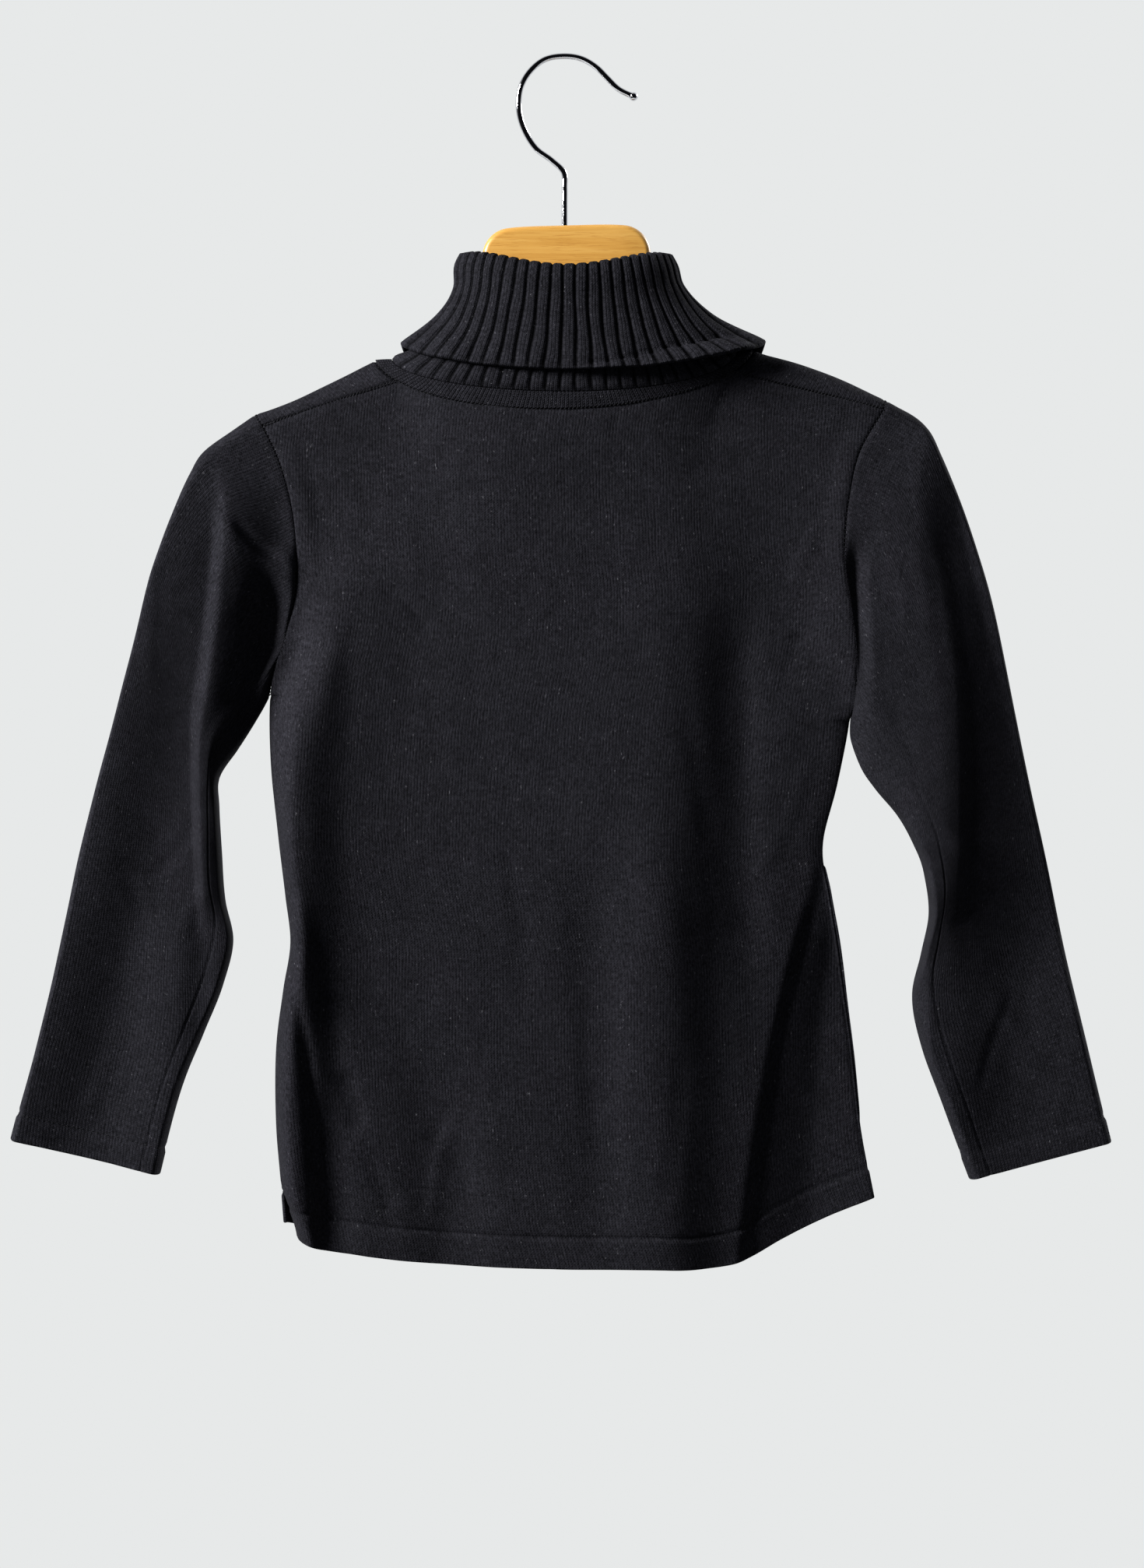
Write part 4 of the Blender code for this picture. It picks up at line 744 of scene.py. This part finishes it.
def sleeve_shape(side, down, on_back, station):
    """Flattened tube between its outer and inner edge, stood off the plane, rounded and folded."""
    columns = np.moveaxis(read(SLEEVE, station), -1, 0)
    front_off = columns[-1]
    outer_x, outer_z, inner_x, inner_z, back_off = columns[:5] if side == "left" else columns[5:10]
    x = outer_x + (inner_x - outer_x) * down
    z = outer_z + (inner_z - outer_z) * down
    width = np.hypot(inner_x - outer_x, inner_z - outer_z)
    outer_round, inner_round = SLEEVE_ROUND[side]
    rounded = round_edge(down * width, outer_round) * round_edge((1.0 - down) * width, inner_round)
    front_depth = (front_off + fold_rise(FRONT_FOLDS, x, z)) * rounded
    back_depth = (back_off + fold_rise(SLEEVE_FOLDS, x, z)) * rounded
    kept_apart = np.maximum(back_depth, SLEEVE_HOLLOW - front_depth)
    back_depth = np.where(rounded > SLEEVE_INNER, kept_apart, back_depth)
    return vectors(x, np.where(on_back, -back_depth, front_depth), z)


def sleeve_rings(side):
    """Rings from the armhole to the cuff: the tube's shape, eased from the armhole's own ring."""
    station = ARMPIT + (1.0 - ARMPIT) * ARMHOLE
    arc = shoulder_arc(side, np.linspace(1.0, 0.0, OVER_SHOULDER + 1))[1:-1]
    ring = np.concatenate([body_edge(side, "back", station), arc, body_edge(side, "front", station)[:0:-1]])
    on_back = np.arange(len(ring)) <= len(station) + OVER_SHOULDER // 2 - 1
    ridge_z, armpit_z = SHOULDER_RIDGE[side][1], ring[0, 2]
    down = np.clip((ridge_z - ring[:, 2]) / (ridge_z - armpit_z), 0.0, 1.0)
    long_rows = np.linspace(0.0, 1.0, SLEEVE_ROWS)[2:-1] ** SLEEVE_CROWD * CUFF_LINE[0]
    station = np.concatenate([BORDER[:-1], long_rows, CUFF_LINE, np.linspace(CUFF_LINE[-1], 0.994, 6)[1:],
                              1.0 - BORDER[::-1]])
    shape = sleeve_shape(side, down[None], on_back[None], station[:, None])
    rest = ring - sleeve_shape(side, down, on_back, np.zeros_like(down))
    return shape + rest[None] * (1.0 - ease(station / ARMHOLE_EASE))[:, None, None]


sleeve_grid = {side: sleeve_rings(side) for side in ("left", "right")}
ridge_column = len(ARMHOLE) + OVER_SHOULDER // 2
for side, rings in sleeve_grid.items():
    spread = ring_closed(rings)
    down_it = run_along(spread, 0)[:, [ridge_column]]
    surface = cloth_part(rings, vectors(centred(run_along(spread, 1), ridge_column), down_it),
                         closed=True, flip=side == "right")
    valley = np.zeros((*rings.shape[:2], 1))
    valley[:, UNDERARM_COLUMN[side]] = UNDERARM_DEEP
    sleeve = jersey_panel("sleeve_" + side + "_cloth", surface, rings[0], rings[-1], SLEEVE_CREASES[side],
                          WAVE_TURN[side], hem=CUFF_HEM, valley=valley.reshape(-1, 1))
    hang(sleeve, "sleeve_" + side, "knit", flat=(0.33, 0.41), held="hung", area=0.070)


# ---- Neck band -----------------------------------------------------------------------------------
# A narrow double band of the same yarn, linked to the panels below and to the collar above, which
# covers the raw edge of the neckline.  Its wales stand close together.
BAND_WALL = 2.0
BAND_EDGE = 0.20
BAND_PROUD, BAND_CROWN = 0.25, 0.10
BAND_POINTS, BAND_CROWD = 480, 0.75        # its points stand closer together over the shoulders
COLLAR = (
    # left x, right x, left z, right z, back z, front z, back depth, front depth, dip, roundness,
    # crowding of the ribs towards both ends, their shift to the right as a share of half the width
    (-88.6, 90, -155.2, -151.2, -173.4, -212, 20, 20, 0.90, 0.65, 0.02, 0.064),
    (-78, 80, -151.6, -147, -163.4, -196, 20.2, 20, 1, 0.65, 0.08, 0.069),
    (-60, 63, -138.6, -134, -144, -168, 19.4, 18.8, 1.8, 0.75, 0.22, 0.080),
    (-49.4, 53.4, -116, -115, -121, -133, 18.4, 17.8, 3, 1, 0.30, 0.086),
    (-49.2, 51.8, -104.2, -104.6, -112.2, -116, 18.4, 17.8, 3.4, 1, 0.31, 0.100),
    (-51.4, 54, -101.4, -101.9, -109.2, -113, 20.8, 20.2, 3.4, 1, 0.31, 0.099),
    (-53.6, 56.3, -104.6, -105.2, -112.4, -117, 23, 22.4, 3, 1, 0.28, 0.092),
    (-54.9, 60.4, -118, -117.5, -127, -139, 23.6, 23, 2.2, 0.95, 0.31, 0.062),
    (-64.2, 76.4, -133.4, -133.8, -146, -167, 24.6, 24, 1.4, 0.85, 0.20, 0.006),
    (-84, 104, -147.7, -147.7, -162.8, -194, 25.8, 25, 1.05, 0.78, 0, -0.038),
)


def rib_angle(turn, crowding, shift):
    """Angle on an oval for an even turn of the ribs.

    With t from 1 to -1 over each flat face, a rib's share of half the width is t more crowding times
    (t less its cube), so that the ribs close up towards the ends, and shift times (1 less t squared).
    """
    half = np.mod(turn, math.pi)
    t = 1.0 - 2.0 * half / math.pi
    moved = np.where(turn < math.pi, shift, -shift) * (1.0 - t * t)
    return np.arccos(np.clip(t + crowding * (t - t**3) + moved, -1.0, 1.0)) + (turn - half)


def collar_ring(row, angle):
    """Oval of the collar's middle, with its height dipping from the sides to the back and front."""
    left_x, right_x, left_z, right_z, back_z, front_z, back_y, front_y, dip, roundness, _, _ = row
    across, deep = np.cos(angle), np.sin(angle)
    size, behind = np.abs(deep), deep >= 0.0
    side_z = swing(left_z, right_z, across)
    y = np.where(behind, -back_y, front_y) * size**roundness
    z = side_z + (np.where(behind, back_z, front_z) - side_z) * over_ridge(size)**dip
    return vectors(swing(left_x, right_x, across), y, z)


turns = np.linspace(0.0, 2.0 * np.pi, BAND_POINTS + 1)[:-1]
turns = np.arctan2(np.sin(turns) * BAND_CROWD, np.cos(turns))
low, high = neckline(turns), collar_ring(COLLAR[0], turns)
up = np.concatenate([[0.0, 0.012, 0.05, 0.10], np.linspace(0.2, 0.8, 7), [0.90, 0.95, 0.988, 1.0]])
band = low[None] + (high - low)[None] * up[:, None, None]
spread = ring_closed(band)
surface = cloth_part(band, vectors(run_along(spread, 1)[:1], run_along(spread, 0)), closed=True, flip=True)
points, faces = surface[:2]
normals = surface_normals(points, faces)
from_edge = np.minimum(distance_to(points, low), distance_to(points, high))
edge = round_edge(from_edge, BAND_EDGE)
crown = BAND_PROUD + BAND_CROWN * ease(from_edge / 3.0)
outer = points + normals * ((crown + BAND_WALL / 2) * edge - BAND_WALL / 2 + RIM)[:, None]
inner = points - normals * (BAND_WALL / 2 * edge + BAND_WALL / 2 + RIM)[:, None]
neck_band = cloth_object("neck_band_knit", outer, inner, surface,
                         knit("black_band_knit", wale=2.1, course=1.3, depth=0.6, ribbing=0.7))
hang(neck_band, "neck_band", "knit", flat=(0.44, 0.010), held="hung", area=None)


# ---- Collar --------------------------------------------------------------------------------------
# The roll collar is a tube of broad rib knitted in one piece: forty-six flat ribs with narrow grooves.
# It stands up from the neck band, turns over at the top and lies down round its own stand.
RIB_COUNT = 46
RIB_WALL = 2.0
RIB_HEIGHT = 1.15
RIB_PITCH = 6.6
POINTS_PER_RIB = 14
COLLAR_ROWS = 62
COLLAR_GAP = 0.12
HEM_EDGE, LINK_EDGE = 1.2, 0.20
HEM_WAVES = ((5.0, 0.8, 0.45), (9.0, 2.1, 0.35), (17.0, 0.0, 0.35))   # waves round, turn, height
WAVE_REACH = 26.0
HEM_ROLL, ROLL_AT, ROLL_REACH = 0.40, 1.4, 1.3
LINK_THIN, LINK_THIN_REACH = 0.45, 2.5
CREASE_RIB = (0.5, 2.0, 5.0, 7.0, 9.5, 11.5)       # ribs from the right end of the back
CREASE_HEIGHT = (9.0, 13.0, 13.0, 9.5, 6.0, 3.0)   # of the crease above the loose hem, at those ribs
CREASE_FLARE, CREASE_DEEP, CREASE_REACH = 0.22, 1.8, 1.4


def rib_height(phase):
    """Height across a rib, from 0 in the groove to 1 on its nearly flat crown: one less a high and a
    low power of a cosine."""
    groove = np.abs(np.cos(np.pi * phase))
    return 1.0 - 0.88 * groove**12 - 0.12 * groove**2


around = np.arange(RIB_COUNT * POINTS_PER_RIB) / (RIB_COUNT * POINTS_PER_RIB)
coarse = np.stack([collar_ring(row, rib_angle(around * 2.0 * np.pi, row[-2], row[-1])) for row in COLLAR])
coarse[0] += unit(coarse[1] - coarse[0]) * COLLAR_GAP
ring_station = run_along(coarse, 0).mean(axis=1)
total = ring_station[-1]
stations = np.concatenate([[0.0, 0.15, 0.5, 1.1], np.linspace(2.2, total - 3.2, COLLAR_ROWS),
                           total - np.array([2.2, 1.4, 0.8, 0.4, 0.12, 0.0])])
rings = smooth_between(ring_station, coarse, stations)
across = np.roll(rings, -1, axis=1) - np.roll(rings, 1, axis=1)
normals = unit(np.cross(np.gradient(rings, axis=0), across))
s, u = stations[:, None], around[None]
turn = 2.0 * np.pi * u
from_end = total - s
# Loose hem: it waves a little, and right of the middle it is turned up along a crease and flares away.
wave = sum(height * np.sin(count * turn + start) for count, start, height in HEM_WAVES)
on_right = ease((u * RIB_COUNT - 0.2) / 1.5) * ease((12.2 - u * RIB_COUNT) / 2.5)
past = np.interp(u * RIB_COUNT, CREASE_RIB, CREASE_HEIGHT) - from_end
flare = CREASE_FLARE * (past + np.hypot(past, 0.8)) - CREASE_DEEP * np.exp(-(past / CREASE_REACH) ** 2)
push = wave * ease((WAVE_REACH - from_end) / WAVE_REACH) + on_right * flare
rings = rings - normals * push[..., None]
# The ribs wander a little, lie flatter where the hem rolls, and are felt inside the stand too.
phase = u * RIB_COUNT + 0.5 + 0.04 * np.sin(s / 13.0 + 40.0 * u) + 0.03 * np.sin(s / 7.0 + 90.0 * u)
rib = rib_height(phase)
edge = np.minimum(round_edge(from_end, HEM_EDGE), round_edge(s, LINK_EDGE))
rolled = np.exp(-((from_end - ROLL_AT) / ROLL_REACH) ** 2)
turned_up = on_right * ease(past / 2.0 + 0.5)
under = ease((ring_station[2] - 4.0 - s) / 14.0) * ease(s / 3.5)
outside = RIB_WALL / 2 + RIB_HEIGHT * rib * (1.0 - 0.5 * rolled + 0.5 * turned_up) + HEM_ROLL * rolled
inside = RIB_WALL / 2 - LINK_THIN * (1.0 - ease(s / LINK_THIN_REACH)) + rib * under
neck_side = rings - normals * (outside * edge + RIM)[..., None]
body_side = rings + normals * (inside * edge + RIM)[..., None]
flat_u = np.concatenate([phase, phase[:, :1] + RIB_COUNT], axis=1) * RIB_PITCH
collar = cloth_object("roll_collar", body_side.reshape(-1, 3), neck_side.reshape(-1, 3),
                      cloth_part(rings, vectors(flat_u, s), closed=True, flip=True),
                      knit("black_rib_knit", course=1.4, depth=0.30, pitch=RIB_PITCH))
hang(collar, "collar", "rib", flat=(0.34, 0.15), held="folded", area=None)


# ---- Stitching -----------------------------------------------------------------------------------
# Rows of short stitches in the same black thread: they link the seams at the shoulders, armholes and
# neck band, and hold down the turned-up hems.
SPINDLE = 6                       # rings of a stitch, and points of each ring
BACKWARDS, FORWARDS = np.array([0.0, -1.0, 0.0]), np.array([0.0, 1.0, 0.0])


def line_on(grid, length=0.0, creases=(), turn=0.0, outward=None):
    """Line across a grid at a length from its first row, and the normals there, over its creases.

    The normals point outward, or away from the line's middle where it runs round.
    """
    run = run_along(grid, 0)
    beyond = np.clip((run < length).sum(axis=0), 1, len(grid) - 1)[None]
    before, after = (np.take_along_axis(run, at, axis=0)[0] for at in (beyond - 1, beyond))
    share = np.clip((length - before) / np.maximum(after - before, 1e-9), 0.0, 1.0)[:, None]
    found = []
    for values in (grid, unit(np.cross(np.gradient(grid, axis=0), np.gradient(grid, axis=1)))):
        low, high = (np.take_along_axis(values, at[..., None], axis=0)[0] for at in (beyond - 1, beyond))
        found.append(low + (high - low) * share)
    line, normal = found
    away = (line - line.mean(axis=0)) * normal
    normal *= np.sign(away.sum() if outward is None else normal @ outward)[..., None]
    return line + normal * small_relief(line, creases, turn)[:, None], normal


def capped_faces(row_count, column_count):
    """Faces of a closed grid, with its first and last row as lids."""
    first = np.arange(column_count)
    lids = [first[::-1].tolist(), (first + column_count * (row_count - 1)).tolist()]
    return grid_faces(row_count, column_count, closed=True)[0].tolist() + lids


def columns_at(at, run, values):
    """Values along a run, column by column, at some lengths of it."""
    return vectors(*(np.interp(at, run, column) for column in values.T))


def stitch_row(name, line, normal, pitch=2.3, length=1.5, thick=0.55, lift=0.0, slant=0.0):
    """Row of spindles along a line: radius times the root of 1 less t squared, t from -1 to 1."""
    run = run_along(line, 0)
    at = np.arange(pitch * 0.5, run[-1] - pitch * 0.4, pitch)
    middle = columns_at(at, run, line)
    heading, up = (unit(columns_at(at, run, values)) for values in (np.gradient(line, axis=0), normal))
    side = np.cross(up, heading)
    heading, side = (heading * math.cos(slant) + side * math.sin(slant),
                     side * math.cos(slant) - heading * math.sin(slant))
    t = np.linspace(-1.0, 1.0, SPINDLE)[None, :, None, None]
    turn = np.linspace(0.0, 2 * np.pi, SPINDLE + 1)[None, None, :-1, None]
    radius = thick / 2 * np.sqrt(np.maximum(1.0 - t * t, 0.004))
    middle, heading, side, up = (axis[:, None, None] for axis in (middle, heading, side, up))
    points = (middle + up * lift + heading * t * length / 2
              + radius * (np.cos(turn) * side + np.sin(turn) * up))
    spindle = capped_faces(SPINDLE, SPINDLE)
    faces = [[corner + start for corner in face[::-1]]
             for start in range(0, len(at) * SPINDLE**2, SPINDLE**2) for face in spindle]
    hang(mesh_object(name + "_stitches", points, faces, THREAD), None, "knit")


s = Shader(bpy.data.materials.new("black_thread"))
twist = s.noise(s.add("TexCoord", output=3), 1400.0, 2.0)
THREAD = s.finish(Base_Color=s.ramp(twist, (0.35, (0.003, 0.003, 0.004)), (0.65, (0.014, 0.014, 0.016))),
                  Roughness=0.8, Specular_IOR_Level=0.08)

for name, grid, *where in (
        ("back_hem", back_grid, BODY_HEM, BACK_CREASES, WAVE_TURN["back"], BACKWARDS),
        ("front_hem", front_grid, BODY_HEM, FRONT_CREASES, WAVE_TURN["front"], FORWARDS),
        *(("cuff_" + side, grid[::-1], CUFF_HEM, SLEEVE_CREASES[side], WAVE_TURN[side])
          for side, grid in sleeve_grid.items())):
    stitch_row(name, *line_on(grid, *where), pitch=2.6, length=1.7, lift=-0.42)
for side, columns in SHOULDER_PART.items():
    stitch_row("armhole_" + side, *line_on(sleeve_grid[side]), pitch=2.2, lift=-0.5, slant=1.1)
    stitch_row("shoulder_" + side, *line_on(back_grid[::-1, columns], outward=BACKWARDS),
               pitch=1.8, length=1.6, thick=0.7, lift=-0.15, slant=0.9)
stitch_row("band", *line_on(ring_closed(band)), pitch=2.1, lift=-0.05, slant=0.5)


# ---- Hanger --------------------------------------------------------------------------------------
# A flat plate of pale beech, sawn to a clothes hanger's outline with a raised middle, its edges rounded
# and clear-varnished.  The sweater's shoulders hang on its two arms.
WOOD_THICK = 10.0
WOOD_ROUND = 3.0
WOOD_TILT = 1.5
WOOD_MIDDLE = (1.4, -95.0)
WOOD_OUTLINE = (
    # x from the middle, z from the middle, how far a handle reaches along the edge, its direction
    (0, 9, 14, 0),
    (31, 8.2, 7, -8),
    (43.4, -5, 6, -86),
    (44.2, -24, 8, -82),
    (60, -57, 10, -40),
    (98, -70.5, 12, -22),
    (158, -97, 12, -25),
    (178.5, -107.5, 4, -38),
    (184.5, -115, 3, -80),
    (179, -121.5, 3, -178),
    (150, -114, 16, 157),
    (84, -91, 18, 164),
    (0, -84, 22, 180),
)


def outline_points(per_part=14):
    """Closed outline: a cubic Bezier part between each two rows, run on the right and mirrored."""
    rows = np.array(WOOD_OUTLINE, float)
    heading = np.radians(rows[:, 3])
    step = rows[:, 2:3] * vectors(np.cos(heading), np.sin(heading))
    start, end = rows[:-1, None, :2], rows[1:, None, :2]
    t = (np.arange(per_part) / per_part)[None, :, None]
    parts = ((1 - t)**3 * start + 3 * (1 - t)**2 * t * (start + step[:-1, None])
             + 3 * (1 - t) * t**2 * (end - step[1:, None]) + t**3 * end)
    half = np.concatenate([parts.reshape(-1, 2), rows[-1:, :2]])
    return np.concatenate([half, half[-2:0:-1] * (-1.0, 1.0)])


edge_line = outline_points()
tangent = np.roll(edge_line, -1, axis=0) - np.roll(edge_line, 1, axis=0)
inwards = unit(vectors(tangent[:, 1], -tangent[:, 0]))
bend = np.linspace(-np.pi / 2, np.pi / 2, 13)
inset = WOOD_ROUND * (1.0 - np.cos(bend))
depth = np.sin(bend) * WOOD_ROUND + np.sign(bend) * (WOOD_THICK / 2 - WOOD_ROUND)
x, z = np.moveaxis(edge_line[None] + inwards[None] * inset[:, None, None], -1, 0)
tilt = math.radians(WOOD_TILT)
plate = vectors(WOOD_MIDDLE[0] + x * math.cos(tilt) - z * math.sin(tilt), depth[:, None],
                WOOD_MIDDLE[1] + x * math.sin(tilt) + z * math.cos(tilt))

s = Shader(bpy.data.materials.new("varnished_beech"))
solid = s.add("TexCoord", output=3)
grain = s.noise(s.add("Mapping", Vector=solid, Scale=(14.0, 60.0, 420.0),
                      Rotation=(0.0, math.radians(2.0), 0.0)), 1.0, 6.0, 0.62, Distortion=0.6)
pores = s.noise(s.add("Mapping", Vector=solid, Scale=(110.0, 900.0, 2200.0)), 1.0, 2.0)
wood = s.ramp(grain, (0.30, (0.44, 0.208, 0.036)), (0.50, (0.515, 0.264, 0.051)),
              (0.72, (0.57, 0.315, 0.071)))
dark = s.ramp(pores, (0.30, (0.72, 0.60, 0.45)), (0.44, (1.0, 1.0, 1.0)))
s.finish(Base_Color=s.mix(0.7, wood, dark, "MULTIPLY"), Roughness=s.times(grain, 0.2, 0.28),
         Coat_Weight=0.15, Coat_Roughness=0.22, Normal=s.add("Bump", i0=0.4, i1=0.1 * MM, Height=grain))
hang(mesh_object("hanger_plate", plate, capped_faces(*plate.shape[:2]), s.owner), "hanger", "wood")


# ---- Hook ----------------------------------------------------------------------------------------
# Chromed steel wire, 3.2 mm thick, bent to a hook that is open on the right and ends in a small ball.
# Its straight stem is pressed into a hole in the top of the wood.
WIRE = 3.2
BALL = 4.6
WIRE_POINT = 0.02
STEM = ((0.6, -100.2), (0.6, -86.2), (0.6, -74.0))
HOOK_BEND = (
    # x, z
    (0.6, -66),
    (0.2, -58.6),
    (-5.8, -52.4),
    (-14, -46.2),
    (-19.2, -38.6),
    (-22.4, -30.2),
    (-23.2, -22),
    (-21.8, -13.8),
    (-17.2, -6),
    (-9.8, -0.1),
    (-0.6, 1.7),
    (9, 0.5),
    (17.2, -4.2),
    (22.6, -9.6),
    (28.6, -15.4),
    (36.2, -19.2),
)
bend = np.array(STEM + HOOK_BEND)
run = run_along(bend, 0)
curve = np.column_stack([run, bend])
steps = np.concatenate([np.linspace(0.0, run[-1] - 2.4, 150),
                        run[-1] + BALL / 2 * np.sin(np.linspace(-0.72, np.pi / 2, 12))])
inside_wire = np.minimum(steps, run[-1])
even = np.linspace(0.0, run[-1], 300)
heading = unit(columns_at(inside_wire, even, np.gradient(read(curve, even), axis=0)))
path = read(curve, inside_wire) + heading * (steps - inside_wire)[:, None]
from_ball = steps - run[-1]
radius = np.maximum(np.sqrt(np.clip((BALL / 2) ** 2 - from_ball ** 2, 0.0, None)),
                    np.where(from_ball < 0.0, WIRE / 2, WIRE_POINT))
radius[0] = WIRE_POINT
radius, turn = radius[:, None], np.linspace(0.0, 2.0 * np.pi, 25)[:-1]
wire = vectors(path[:, :1] - heading[:, 1:] * radius * np.cos(turn), radius * np.sin(turn),
               path[:, 1:] + heading[:, :1] * radius * np.cos(turn))

s = Shader(bpy.data.materials.new("bright_chrome"))
smears = s.noise(s.add("TexCoord", output=3), 160.0, 3.0)
s.finish(Base_Color=(0.62, 0.62, 0.64, 1.0), Metallic=1.0, Roughness=s.times(smears, 0.06, 0.04))
hang(mesh_object("hook_wire", wire, capped_faces(*wire.shape[:2]), s.owner), "hook", "chrome")


# ---- Floor, light and camera ---------------------------------------------------------------------
# A plain pale floor well below the hanging sweater, an even pale room, and one broad soft lamp from
# the upper left of the back, with a weaker one for the far side.
FLOOR_RADIUS, FLOOR_CORNERS, FLOOR_LEVEL = 1500.0, 96, -1250.0
SENSOR = 36.0
CAMERA_DISTANCE, VIEW_HEIGHT = 2.088, 0.8056   # to the sweater's back, and seen there, in metres

rim = np.linspace(0.0, 2.0 * np.pi, FLOOR_CORNERS + 1)[:-1]
s = Shader(bpy.data.materials.new("pale_floor"))
floor = mesh_object("floor", vectors(FLOOR_RADIUS * np.cos(rim), FLOOR_RADIUS * np.sin(rim), FLOOR_LEVEL),
                    [list(range(FLOOR_CORNERS))],
                    s.finish(Base_Color=(0.44, 0.45, 0.45, 1.0), Roughness=0.9, Specular_IOR_Level=0.1))
floor.visible_diffuse = False      # the pale floor lights nothing, so that the folds keep their depth

s = Shader(bpy.data.worlds.new("pale_room"), "Background")
room = s.finish(Color=(0.13, 0.135, 0.145, 1.0))
# What chrome and varnish mirror is a white studio that is dark on the camera's side.
depthways = s.math("ADD", s.add("SeparateXYZ", output=1, i0=s.add("TexCoord")), 0.30)
studio = s.ramp(depthways, (0.0, (0.004, 0.004, 0.005)), (0.5, (0.85, 0.87, 0.88)))
sight = s.add("LightPath").node.outputs
by_mirror = s.add("MixShader", i0=sight["Is Glossy Ray"], i1=s.surface.outputs[0],
                  i2=s.add("Background", Color=studio))
by_camera = s.add("MixShader", i0=sight["Is Camera Ray"], i1=by_mirror,
                  i2=s.add("Background", Color=(0.799, 0.814, 0.814, 1.0)))
s.give(s.tree.nodes["World Output"], i0=by_camera)
bpy.context.scene.world = room
bpy.context.scene.view_settings.view_transform = "Standard"


def lamp(name, place, aim, size, power):
    """Square area lamp that looks at a point."""
    light = bpy.data.lights.new(name, "AREA")
    light.size, light.energy = size, power
    holder = bpy.data.objects.new(name, light)
    holder.location = place
    x, y, z = np.array(aim) - np.array(place)
    holder.rotation_mode = "XYZ"
    holder.rotation_euler = (math.atan2(math.hypot(x, y), -z), 0.0, math.atan2(-x, y))
    bpy.context.scene.collection.objects.link(holder)


lamp("soft_lamp", (-2.3, -1.15, 0.75), (0.0, 0.0, -0.35), 0.9, 225.0)
lamp("far_lamp", (1.8, 1.15, 0.8), (0.0, 0.0, -0.35), 0.9, 80.0)

camera = bpy.data.cameras.new("camera")
camera.sensor_fit = "VERTICAL"
camera.sensor_height = SENSOR
camera.lens = SENSOR * CAMERA_DISTANCE / VIEW_HEIGHT
holder = bpy.data.objects.new("camera", camera)
holder.location = (0.0044, -2.1, -0.3744)
holder.rotation_euler = (math.radians(90.0), 0.0, 0.0)
bpy.context.scene.collection.objects.link(holder)
bpy.context.scene.camera = holder
